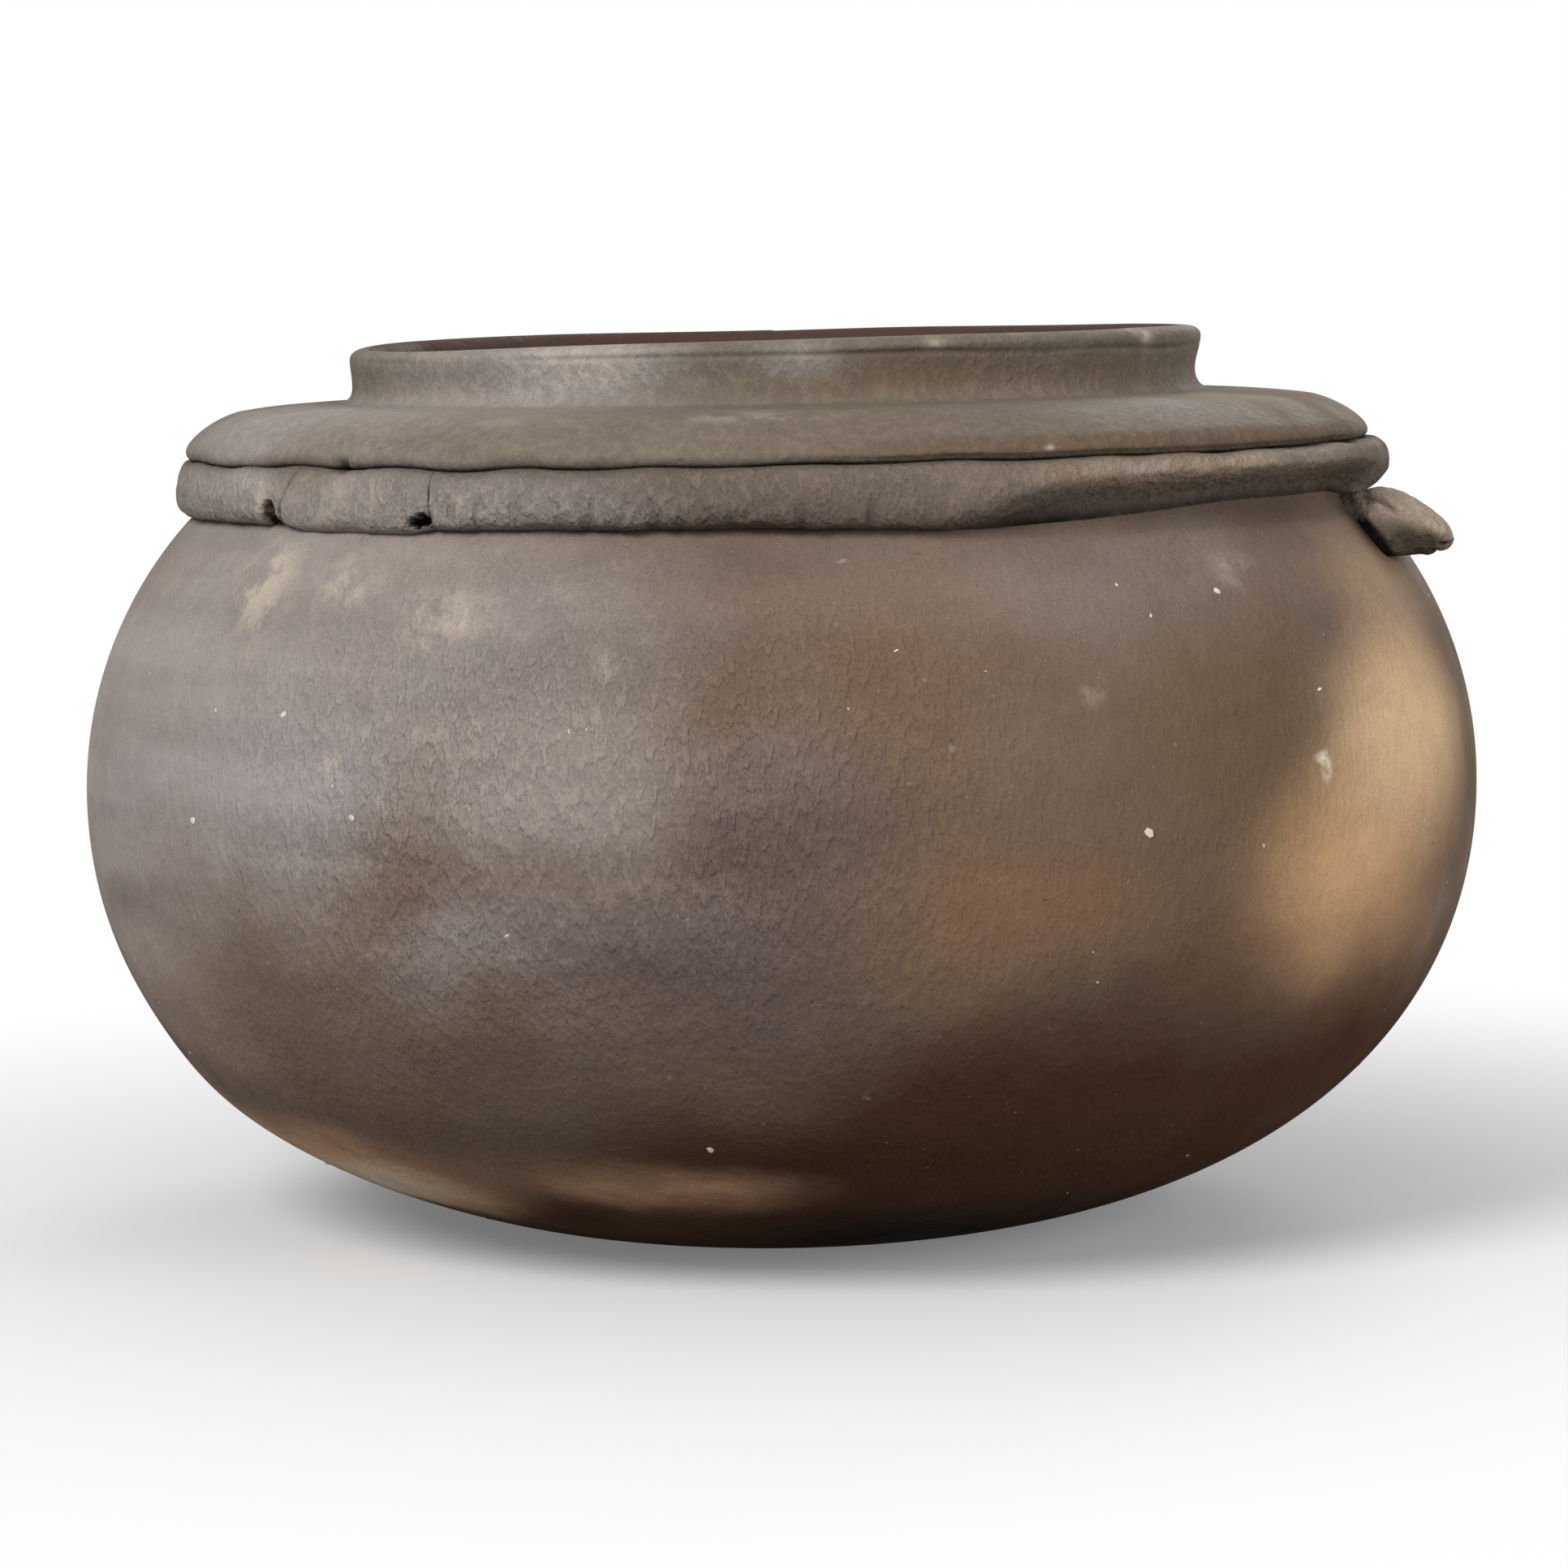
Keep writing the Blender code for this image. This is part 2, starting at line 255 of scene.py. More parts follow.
def shelf_curve(sizes):
    """The top of the ledge, from its crest in to the foot of the neck."""
    return [
        (sizes.crest_radius, sizes.crest_height),
        (sizes.crest_radius - 0.0045, sizes.crest_height + 0.0008),
        (sizes.neck_radius + 0.0100, sizes.shelf_height - 0.0002),
        (sizes.neck_radius + FILLET_REACH, sizes.shelf_height),
    ]


def fillet_curve(sizes):
    """The tight turn from the ledge up into the neck."""
    return [
        (sizes.neck_radius + FILLET_REACH, sizes.shelf_height),
        (sizes.neck_radius + 0.0011, sizes.shelf_height + 0.0001),
        (sizes.neck_radius, sizes.shelf_height + 0.0012),
        (sizes.neck_radius, sizes.shelf_height + FILLET_RISE),
    ]


def flare_curve(sizes):
    """The neck's slow flare up to the lip's nose."""
    return [
        (sizes.neck_radius, sizes.shelf_height + FILLET_RISE),
        (sizes.neck_radius, sizes.shelf_height + 0.0058),
        (sizes.lip_radius, sizes.rim_height - 0.0040),
        (sizes.lip_radius, sizes.rim_height - LIP_NOSE_DROP),
    ]


# The unevenness of hand work


def around(points):
    """Angles, radii and heights of points."""
    x, y, z = points[..., 0], points[..., 1], points[..., 2]
    return np.arctan2(x, -y), np.hypot(x, y), z


def from_axis(turn, radius, height):
    """The points at these angles, radii and heights."""
    return np.stack([radius * np.sin(turn), -radius * np.cos(turn), height], axis=-1)


def near_angle(turn, middle, width):
    """1 at an angle, fading to 0 over about twice the width, both in degrees."""
    return near(turn, math.radians(middle), math.radians(width))


def span(turn, ends):
    """Eases in between the first two of four angles in degrees, and out between the last two."""
    start, full, fading, end = (math.radians(angle) for angle in ends)
    return smooth(start, full, turn) * smooth(end, fading, turn)


def ripple(turn, height, seed, waves, tall):
    """A seeded unevenness from -1 to 1 that closes on itself round the pot."""
    random = np.random.default_rng(seed)
    total = np.zeros(np.broadcast(turn, height).shape)
    parts = 6
    for _ in range(parts):
        count = random.integers(1, waves + 1)
        climb = random.uniform(-1.0, 1.0) * 2.0 * math.pi / tall
        total = total + np.sin(count * turn + climb * height + random.uniform(0.0, 2.0 * math.pi))
    return total / parts


def wave(turn, seed, waves):
    """An unevenness that is the same at every height."""
    return ripple(turn, 0.0, seed, waves, 1.0)


Dent = namedtuple("Dent", "angle height width depth")

# Where the coil parted into holes, in degrees and metres.
HOLES = [
    Dent(-53.2, 0.1280, 0.0019, 0.0032),
    Dent(-52.9, 0.1300, 0.0015, 0.0030),
    Dent(-32.8, 0.1291, 0.0010, 0.0030),
    Dent(-33.7, 0.1285, 0.0009, 0.0024),
]
# Where the wall, the ledge and the lip were knocked or pressed.
DENTS = [
    Dent(-41.0, 0.1371, 0.0011, 0.0012),
    Dent(-16.0, 0.1373, 0.0014, 0.0008),
    Dent(3.6, 0.1580, 0.0022, 0.0006),
    Dent(20.4, 0.1582, 0.0019, 0.0005),
    Dent(57.0, 0.1584, 0.0030, 0.0008),
    Dent(-43.0, 0.1380, 0.0012, 0.0014),
    Dent(-22.6, 0.1578, 0.0025, 0.0005),
    Dent(140.0, 0.1578, 0.0028, 0.0007),
    Dent(-118.0, 0.1575, 0.0020, 0.0006),
    Dent(-8.0, 0.0640, 0.0100, 0.0003),
    Dent(24.0, 0.0980, 0.0140, 0.0004),
    Dent(-60.0, 0.0600, 0.0150, 0.0005),
]
# How far hand work moved the clay, in metres, and where, in degrees.
NECK_LEAN = 0.0004
NECK_WAIST = 0.0036
RIM_DIP = 0.0010
RIM_RISE = 0.0004
RIM_WANDER = 0.0002
RIM_DIP_ANGLE = -62.0
RIM_RISE_ANGLE = -145.0
RIM_DIP_WIDTH = 34.0
GROOVE_LEAN = 0.0004
GROOVE_TIP = 0.0003
GROOVE_WANDER = 0.0004
GROOVE_RAGGED = 0.0006
GROOVE_RAGGED_ANGLE = -40.0
GROOVE_RAGGED_WIDTH = 30.0
GROOVE_BAND = 0.0060
SLOW_SWELL = 0.0030
QUICK_SWELL = 0.0012
LOWER_LEFT_SWELL = 0.016
LOWER_LEFT_REACH = 0.9
# Where the serpent's head stands out, round the pot.
HEAD_ANGLE = math.radians(74.0)

LEDGE_BAND = 0.0028
LEDGE_BAND_SWELL = 0.0005
LEDGE_BAND_WANDER = 0.0006
LEDGE_BAND_ENDS = (-6.0, 18.0, 62.0, 84.0)


def ledge_band(sizes, turn, height):
    """1 on the upright band along the right of the ledge, which ends at a soft edge above."""
    edge = sizes.ledge_nose + LEDGE_BAND + LEDGE_BAND_WANDER * wave(turn, 61, 12)
    above_nose = smooth(sizes.ledge_nose - 0.0006, sizes.ledge_nose, height)
    return span(turn, LEDGE_BAND_ENDS) * above_nose * smooth(edge + 0.0007, edge - 0.0004, height)


LIP_GROOVE_DROP = 0.0025
LIP_GROOVE_SLANT = 0.0008
LIP_GROOVE_WIDTH = 0.0005
LIP_GROOVE_DEPTH = 0.00035
LIP_GROOVE_WANDER = 0.0003


def lip_groove(sizes, turn, height):
    """1 in the bottom of the broken groove under the lip, which runs lower towards the head."""
    middle = sizes.rim_height - LIP_GROOVE_DROP - LIP_GROOVE_SLANT * np.sin(turn)
    broken = np.clip(0.45 + 1.1 * wave(turn, 71, 9), 0.0, 1.0)
    return broken * near(height, middle + LIP_GROOVE_WANDER * wave(turn, 72, 14), LIP_GROOVE_WIDTH)


def from_mark(mark, turn, radius, height):
    """Distances of points from a mark, along the surface and upwards."""
    across = np.angle(np.exp(1j * (turn - math.radians(mark.angle)))) * radius
    return across, height - mark.height


def distance(mark, turn, radius, height):
    """Distances of points from the middle of a mark."""
    return np.hypot(*from_mark(mark, turn, radius, height))


def leaned(sizes, points):
    """Heights after the rim's lean and dips and the wander of the groove under the ledge."""
    turn, _, z = around(points)
    above_crest = smooth(sizes.crest_height, sizes.rim_height, z)
    lean = above_crest * math.tan(sizes.rim_tilt)
    ragged = 0.4 + 0.6 * near_angle(turn, GROOVE_RAGGED_ANGLE, GROOVE_RAGGED_WIDTH)
    wander = GROOVE_LEAN * np.sin(turn) + GROOVE_TIP * np.cos(turn) + GROOVE_WANDER * wave(turn, 5, 16)
    wander = wander + GROOVE_RAGGED * ragged * wave(turn, 6, 45)
    height = z + points[..., 0] * lean + wander * near(z, sizes.groove, GROOVE_BAND)
    uneven = RIM_WANDER * (wave(turn, 9, 9) - 1.0)
    uneven = uneven - RIM_DIP * near_angle(turn, RIM_DIP_ANGLE, RIM_DIP_WIDTH)
    uneven = uneven + RIM_RISE * near_angle(turn, RIM_RISE_ANGLE, RIM_DIP_WIDTH)
    return np.maximum(height + uneven * above_crest, 0.0)


def swollen(sizes, turn, radius, z):
    """Radii after the swells of the wall and the ledge and the lean of the neck."""
    swell = SLOW_SWELL * (ripple(turn, z, 21, 3, 0.16) - 1.0) + QUICK_SWELL * ripple(turn, z, 22, 9, 0.07)
    lower_left = LOWER_LEFT_SWELL * near(turn, -math.pi / 2, LOWER_LEFT_REACH)
    swell = swell + lower_left * near(z, 0.021, 0.012) - lower_left * near(z, 0.003, 0.004)
    swell = swell + LEDGE_BAND_SWELL / sizes.ledge_radius * ledge_band(sizes, turn, z)
    waist = near(z, sizes.shelf_height + NECK_WAIST, NECK_WAIST)
    on_neck = smooth(sizes.lip_radius + 0.006, sizes.lip_radius, radius)
    off_floor = smooth(0.0, 0.010, z)
    return radius * (1.0 + swell * off_floor) - NECK_LEAN * np.sin(turn) * waist * on_neck


def handmade(sizes, points):
    """Every piece takes the same leans, swells and dents, so that they still fit each other."""
    turn, radius, z = around(points)
    moved = swollen(sizes, turn, radius, z)
    outside = smooth(sizes.mouth_radius, sizes.mouth_radius + 0.004, radius)
    moved = moved - LIP_GROOVE_DEPTH * lip_groove(sizes, turn, z) * outside
    proud = smooth(0.0, 0.0010, radius - wall_radius(sizes, z))
    for hole in HOLES:
        pressed = smooth(1.35, 0.65, distance(hole, turn, radius, z) / hole.width) * proud
        moved = moved - hole.depth * pressed * outside
    for dent in DENTS:
        pressed = near(distance(dent, turn, radius, z), 0.0, dent.width)
        moved = moved - dent.depth * pressed * outside
    return from_axis(turn, np.minimum(moved, sizes.belly_radius), leaned(sizes, points))


Mark = namedtuple("Mark", "angle height width rise strength")

# Where the clay is rubbed or chipped bare, and one painted highlight on the serpent's lit ridge, in degrees
# and metres.
SCUFFS_AND_HIGHLIGHTS = [
    Mark(3.6, 0.1560, 0.0014, 0.0016, 0.55),
    Mark(20.4, 0.1562, 0.0016, 0.0010, 0.80),
    Mark(57.0, 0.1566, 0.0022, 0.0016, 1.00),
    Mark(-22.6, 0.1560, 0.0030, 0.0012, 0.35),
    Mark(140.0, 0.1560, 0.0030, 0.0014, 0.70),
    Mark(-118.0, 0.1556, 0.0024, 0.0012, 0.60),
    Mark(24.6, 0.1392, 0.0009, 0.0004, 1.00),
    Mark(-54.2, 0.1312, 0.0018, 0.0030, 0.80),
    Mark(-44.0, 0.1320, 0.0034, 0.0036, 0.60),
    Mark(-29.0, 0.1330, 0.0024, 0.0011, 0.80),
    Mark(-27.0, 0.1312, 0.0018, 0.0018, 0.60),
    Mark(-38.0, 0.1330, 0.0014, 0.0020, 0.45),
    # A painted highlight along the lit upper face of the serpent's ridge.
    Mark(40.0, 0.1352, 0.0260, 0.0020, 0.30),
    Mark(-2.0, 0.1452, 0.0130, 0.0007, 0.35),
    Mark(-45.0, 0.1572, 0.0400, 0.0012, 0.22),
    Mark(-30.0, 0.1447, 0.0160, 0.0006, 0.22),
]
# Darker marks: painted shade under the lip's rolled edge and in a pressed dent of the groove under the ledge,
# and darker clay on the neck and at its foot.
DARK_MARKS = [
    # Painted shade under the lip's rolled edge, here and at 160 degrees.
    Mark(30.0, 0.1552, 0.0300, 0.0012, 0.26),
    Mark(20.0, 0.1530, 0.0130, 0.0030, 0.16),
    Mark(-8.0, 0.1480, 0.0300, 0.0010, 0.14),
    Mark(160.0, 0.1550, 0.0300, 0.0012, 0.30),
    # Painted shade in the pressed dent of the groove.
    Mark(-43.0, 0.1378, 0.0010, 0.0011, 0.80),
]
# Where the serpent's underside hangs free, with soot and painted shade under it, in degrees.
UNDERCUT = (10.0, 26.0, 70.0, 84.0)
# How dark each place is made: dirt and painted shade in the groove, painted shade in the crease, the holes
# and the lip's groove, soot and painted shade under the serpent, a painted shadow beside its head, and
# darkening on the ledge's band.
GROOVE_DIRT_AND_SHADE = 0.42
CREASE_SHADE = 0.30
UNDERCUT_SOOT_AND_SHADE = 0.26
HEAD_SHADOW = 0.90
HOLE_SHADE = 2.40
LEDGE_BAND_DARKENING = 0.18
LIP_GROOVE_SHADE = 0.24


def marked(marks, turn, radius, height):
    """The strengths of soft-edged marks, added up at each point."""
    total = np.zeros(turn.shape)
    for mark in marks:
        across, up = from_mark(mark, turn, radius, height)
        total = total + mark.strength * np.exp(-((across / mark.width) ** 2) - (up / mark.rise) ** 2)
    return total


def in_groove(sizes, turn, radius, height):
    """1 deep in the groove under the ledge, which is wider on the left."""
    reach = 0.0008 + 0.0007 * smooth(0.4, -0.5, np.sin(turn))
    dark_share = near(height, sizes.groove + 0.0003 * wave(turn, 33, 60), reach)
    return dark_share * smooth(sizes.ledge_radius + 0.0030, sizes.ledge_radius - 0.0008, radius)


def in_holes(sizes, turn, radius, height):
    """How far into the coil's holes each point is, and 0 below the coil."""
    above_foot = smooth(sizes.coil_foot - 0.0006, sizes.coil_foot, height)
    total = np.zeros(turn.shape)
    for hole in HOLES:
        total = total + smooth(1.30, 0.85, distance(hole, turn, radius, height) / hole.width)
    return total * above_foot


def under_serpent(sizes, turn, radius, height):
    """Painted shade along the serpent's crease, soot and painted shade under its free underside, and a
    painted shadow beside its head.
    """
    free = span(turn, UNDERCUT)
    crease = near(height, sizes.coil_foot, 0.0008) * near(radius, wall_radius(sizes, sizes.coil_foot), 0.0016)
    # Painted shade in the crease where the serpent meets the wall, and soot with painted shade on the wall
    # under its free underside.
    soot_and_shade = CREASE_SHADE * crease * (1.0 - free)
    soot_and_shade = soot_and_shade + UNDERCUT_SOOT_AND_SHADE * free * near(height, 0.1272, 0.0040) * smooth(0.1075, 0.1060, radius)
    # A painted shadow on the wall beside the head.
    beside_head = near(turn, HEAD_ANGLE - math.radians(5.2), math.radians(2.4)) * near(height, 0.1225, 0.0050)
    return soot_and_shade + HEAD_SHADOW * beside_head * near(radius, wall_radius(sizes, height), 0.0010)


def weathering(sizes, points, inside):
    """Shares of lightening and darkening at each point: rubbed bare edge with a painted highlight, and soil
    and soot with painted shade.
    """
    turn, radius, height = around(points)
    wear = marked(SCUFFS_AND_HIGHLIGHTS, turn, radius, height)
    # Dirt and painted shade deep in the groove under the ledge.
    soil = GROOVE_DIRT_AND_SHADE * in_groove(sizes, turn, radius, height)
    soil = soil + under_serpent(sizes, turn, radius, height)
    # Painted shade that blackens the inside of the coil's holes.
    soil = soil + HOLE_SHADE * in_holes(sizes, turn, radius, height)
    # Painted shade in the groove under the lip's rolled edge, and a darker band on the ledge's upright face.
    soil = soil + LEDGE_BAND_DARKENING * ledge_band(sizes, turn, height) + LIP_GROOVE_SHADE * lip_groove(sizes, turn, height)
    soil = soil + marked(DARK_MARKS, turn, radius, height)
    shown = 1.0 - inside
    return np.clip(wear, 0.0, 1.0) * shown, np.clip(soil, 0.0, 1.0) * shown


# Meshes

CREASE_ANGLE = math.radians(50.0)
POLE_RADIUS = 1e-6


def add_object(name, data):
    """Puts a new object into the scene."""
    made = bpy.data.objects.new(name, data)
    bpy.context.scene.collection.objects.link(made)
    return made


def add_piece(name, mesh, finish, nodes):
    """Links a finished mesh as a piece of the pot, on the frame's one body."""
    mesh.materials.clear()
    mesh.materials.append(finish)
    mesh.shade_smooth()
    mesh.set_sharp_from_angle(angle=CREASE_ANGLE)
    piece = add_object(name, mesh)
    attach(piece, "root")
    if nodes:
        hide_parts(*nodes)


def store(mesh, name, values):
    """Keeps a value for each point of a mesh."""
    layer = mesh.attributes.new(name, "FLOAT", "POINT")
    layer.data.foreach_set("value", np.asarray(values, dtype=np.float32).ravel())


def store_clay(mesh, wear, soil, inside):
    """Keeps the shares that the clay's finish reads."""
    store(mesh, "wear", wear)
    store(mesh, "soil", soil)
    store(mesh, "inside", inside)


def full_turn(count):
    """Angles that go once round, evenly."""
    return np.linspace(0.0, 2.0 * math.pi, count, endpoint=False)


def even_ring(radius, height):
    """A ring of points round the axis, or the one point on it."""
    turns = full_turn(COLUMNS)
    if radius <= POLE_RADIUS:
        turns = turns[:1]
    return from_axis(turns, radius, np.full(len(turns), height))


def ring_mesh(name, rings, closed_round):
    """A mesh through rings of points. Rings of one point are poles. The last joins the first if asked."""
    starts = np.concatenate([[0], np.cumsum([len(ring) for ring in rings])])
    faces = []
    pairs = list(zip(range(len(rings)), range(1, len(rings))))
    if closed_round:
        pairs.append((len(rings) - 1, 0))
    for low, high in pairs:
        a, b = starts[low], starts[high]
        sides = max(len(rings[low]), len(rings[high]))
        for j in range(sides):
            k = (j + 1) % sides
            if len(rings[low]) == 1:
                faces.append((a, b + k, b + j))
            elif len(rings[high]) == 1:
                faces.append((a + j, a + k, b))
            else:
                faces.append((a + j, a + k, b + k, b + j))
    mesh = bpy.data.meshes.new(name)
    mesh.from_pydata(np.concatenate(rings).tolist(), [], [tuple(int(i) for i in face) for face in faces])
    mesh.update()
    return mesh


def turned_piece(sizes, name, outside, inside, finish):
    """One piece of the wall, from its outline on the outside and on the inside."""
    outline = np.concatenate([outside, inside])
    is_inside = np.concatenate([np.zeros(len(outside)), np.ones(len(inside))])
    rings, wear, soil, hidden = [], [], [], []
    for (radius, height), inner in zip(outline, is_inside):
        ring = even_ring(radius, height)
        lightened_share, dark_share = weathering(sizes, ring, inner)
        rings.append(handmade(sizes, ring))
        wear.append(lightened_share)
        soil.append(dark_share)
        hidden.append(np.full(len(ring), inner))
    mesh = ring_mesh(name, rings, closed_round=outline[0][0] > POLE_RADIUS)
    store_clay(mesh, np.concatenate(wear), np.concatenate(soil), np.concatenate(hidden))
    add_piece(name, mesh, finish, [name])


# Node trees


class NodeSheet:
    """Adds nodes to a tree one after another, and hands back the sockets that the next ones read."""

    def __init__(self, tree):
        self.tree = tree

    def add(self, kind, **settings):
        node = self.tree.nodes.new(kind)
        for key, value in settings.items():
            setattr(node, key, value)
        return node

    def feed(self, socket, value):
        if isinstance(value, bpy.types.NodeSocket):
            self.tree.links.new(value, socket)
        else:
            socket.default_value = value

    def node(self, kind, inputs, **settings):
        node = self.add(kind, **settings)
        for key, value in inputs.items():
            self.feed(node.inputs[key], value)
        return node

    def out(self, kind, inputs, **settings):
        return self.node(kind, inputs, **settings).outputs[0]

    def math(self, operation, a, b=0.0, clamp=False):
        return self.out("ShaderNodeMath", {0: a, 1: b}, operation=operation, use_clamp=clamp)

    def ramp(self, value, low, high, start=0.0, end=1.0):
        """Eases from start, where the value is low, to end, where it is high."""
        inputs = {0: value, 1: low, 2: high, 3: start, 4: end}
        return self.out("ShaderNodeMapRange", inputs, interpolation_type="SMOOTHSTEP")

    def between(self, share, start, end):
        """Goes evenly from start to end."""
        return self.out("ShaderNodeMapRange", {0: share, 3: start, 4: end})

    def mix(self, share, a, b, blend="MIX"):
        node = self.node("ShaderNodeMix", {0: share, 6: a, 7: b}, data_type="RGBA", blend_type=blend)
        return node.outputs[2]

    def noise(self, vector, scale, detail=2.0, rough=0.5):
        inputs = {"Vector": vector, "Scale": scale, "Detail": detail, "Roughness": rough}
        return self.node("ShaderNodeTexNoise", inputs).outputs

    def vector(self, operation, a, b):
        return self.out("ShaderNodeVectorMath", {0: a, 1: b}, operation=operation)

    def scaled(self, vector, factor):
        return self.out("ShaderNodeVectorMath", {0: vector, "Scale": factor}, operation="SCALE")

    def jitter(self, vector, noise, reach):
        """An uneven shift of each point, either way."""
        return self.scaled(self.vector("SUBTRACT", self.noise(vector, *noise)[1], (0.5, 0.5, 0.5)), reach)

    def move(self, vector, place=(0.0, 0.0, 0.0), scale=(1.0, 1.0, 1.0)):
        """The vector seen from a place, in units of a size."""
        return self.vector("MULTIPLY", self.vector("SUBTRACT", vector, place), scale)

    def length(self, vector):
        return self.node("ShaderNodeVectorMath", {0: vector}, operation="LENGTH").outputs["Value"]

    def attribute(self, name):
        return self.add("ShaderNodeAttribute", attribute_name=name).outputs["Fac"]


# Finishes

Cloud = namedtuple("Cloud", "angle height width rise colour strength edge")

# Clouds that the fire left, from the oldest to the last, in degrees and metres, with a painted sheen and a
# painted highlight on the left of the belly among them. The edge is the share of a cloud that fades.
FIRE_CLOUDS = [
    Cloud(-64, 0.092, 0.092, 0.050, "ash", 0.92, 0.70),
    Cloud(-28, 0.111, 0.052, 0.028, "ash", 0.80, 0.90),
    # This pale cloud also paints part of the broad sheen on the left of the belly.
    Cloud(-18, 0.087, 0.040, 0.024, "ash", 0.68, 0.90),
    Cloud(-48, 0.116, 0.050, 0.022, "ash", 0.50, 0.90),
    Cloud(-70, 0.054, 0.056, 0.024, "ash", 0.55, 0.95),
    # This cool pale cloud paints a highlight on the left of the belly.
    Cloud(-43, 0.090, 0.040, 0.022, "haze", 0.75, 0.95),
    Cloud(-62, 0.083, 0.030, 0.010, "haze", 0.50, 0.95),
    Cloud(-70, 0.063, 0.034, 0.008, "umber", 0.30, 0.90),
    Cloud(-44, 0.046, 0.050, 0.016, "umber", 0.50, 0.80),
    Cloud(-64, 0.045, 0.044, 0.015, "tan", 0.12, 0.95),
    Cloud(-23, 0.061, 0.032, 0.013, "haze", 0.48, 0.90),
    Cloud(12, 0.102, 0.048, 0.032, "russet", 0.50, 0.95),
    Cloud(28, 0.119, 0.070, 0.020, "ash", 0.22, 0.95),
    Cloud(38, 0.090, 0.044, 0.040, "olive", 0.85, 0.80),
    Cloud(20, 0.068, 0.038, 0.018, "russet", 0.95, 0.80),
    Cloud(17, 0.066, 0.034, 0.018, "tan", 0.06, 0.95),
    Cloud(34, 0.057, 0.034, 0.015, "russet", 0.70, 0.95),
    Cloud(20, 0.047, 0.034, 0.011, "soot_and_shade", 0.26, 0.95),
    Cloud(2, 0.035, 0.036, 0.012, "tan", 0.08, 0.95),
    Cloud(86, 0.080, 0.050, 0.060, "olive", 0.80, 0.80),
    Cloud(1, 0.079, 0.030, 0.027, "slate", 0.60, 0.95),
    Cloud(0, 0.090, 0.022, 0.012, "haze", 0.14, 0.95),
    Cloud(-8, 0.058, 0.044, 0.017, "slate", 0.70, 0.95),
    Cloud(-10, 0.067, 0.028, 0.012, "haze", 0.22, 0.95),
    Cloud(118, 0.070, 0.060, 0.050, "slate", 0.75, 0.70),
    Cloud(150, 0.098, 0.044, 0.030, "ash", 0.70, 0.80),
    Cloud(176, 0.068, 0.034, 0.034, "amber", 0.45, 0.95),
    Cloud(166, 0.054, 0.044, 0.022, "ochre", 0.50, 0.95),
    Cloud(205, 0.082, 0.052, 0.034, "slate", 0.65, 0.70),
    Cloud(238, 0.050, 0.050, 0.024, "umber", 0.65, 0.70),
    Cloud(216, 0.104, 0.055, 0.030, "ash", 0.70, 0.85),
    Cloud(252, 0.074, 0.045, 0.024, "slate", 0.60, 0.90),
    Cloud(190, 0.046, 0.050, 0.018, "russet", 0.75, 0.90),
    Cloud(-56, 0.1310, 0.075, 0.016, "ash", 0.90, 0.80),
]

# Clouds on the neck, the ledge and the serpent, which stay where they are put. Two of them paint a highlight
# on the serpent's lit upper face.
TRIM_CLOUDS = [
    Cloud(-40, 0.1510, 0.055, 0.014, "ash", 0.70, 0.90),
    Cloud(-62, 0.1440, 0.050, 0.009, "ash", 0.75, 0.90),
    Cloud(-27, 0.1535, 0.026, 0.0080, "haze", 0.90, 0.95),
    Cloud(-25, 0.1540, 0.020, 0.0060, "cream", 0.46, 0.95),
    Cloud(8, 0.1495, 0.040, 0.0030, "olive", 0.35, 0.95),
    Cloud(44, 0.1500, 0.040, 0.0060, "olive", 0.45, 0.95),
    Cloud(46, 0.1450, 0.030, 0.0060, "ash", 0.40, 0.90),
    Cloud(68, 0.1440, 0.045, 0.0080, "olive", 0.85, 0.85),
    Cloud(18, 0.1515, 0.030, 0.0060, "russet", 0.40, 0.95),
    Cloud(3, 0.1535, 0.011, 0.0045, "ash", 0.65, 0.95),
    Cloud(14, 0.1420, 0.040, 0.0060, "umber", 0.50, 0.95),
    Cloud(36, 0.1398, 0.080, 0.0024, "russet", 0.60, 0.70),
    # These two paint a highlight on the lit upper face of the serpent.
    Cloud(38, 0.1350, 0.045, 0.0032, "tan", 0.18, 0.90),
    Cloud(50, 0.1352, 0.055, 0.0034, "cream", 0.34, 0.90),
    Cloud(6, 0.1320, 0.048, 0.0070, "slate", 0.40, 0.90),
    Cloud(-22, 0.1318, 0.034, 0.0080, "haze", 0.42, 0.90),
    Cloud(-39, 0.1318, 0.030, 0.0080, "ash", 0.38, 0.90),
    Cloud(-4, 0.1430, 0.040, 0.0060, "umber", 0.35, 0.90),
    Cloud(170, 0.1480, 0.060, 0.0120, "slate", 0.60, 0.80),
    Cloud(230, 0.1440, 0.060, 0.0100, "ash", 0.50, 0.90),
]
# Where flame reached the right of the belly, and the dull clay at its edges.
FLASHES = [
    Cloud(66, 0.117, 0.034, 0.020, "ochre", 0.20, 0.95),
    Cloud(57, 0.052, 0.036, 0.018, "amber", 0.25, 0.95),
    Cloud(62, 0.102, 0.026, 0.026, "ochre", 0.28, 0.95),
    Cloud(49.5, 0.069, 0.037, 0.026, "amber", 0.84, 0.95),
    Cloud(62, 0.068, 0.030, 0.022, "amber", 0.14, 0.95),
    Cloud(59.5, 0.088, 0.039, 0.026, "ochre", 0.98, 0.86),
    Cloud(42, 0.096, 0.017, 0.014, "olive", 0.60, 0.75),
    Cloud(79, 0.076, 0.020, 0.044, "olive", 0.78, 0.90),
]
# Pale smudges that stay where they are put.
SMUDGES = [
    Cloud(46.9, 0.0876, 0.0052, 0.0018, "chalk", 0.95, 0.60),
    Cloud(46.2, 0.0862, 0.0020, 0.0034, "chalk", 0.80, 0.60),
    Cloud(-36.0, 0.0905, 0.0050, 0.0030, "cream", 0.40, 0.80),
]
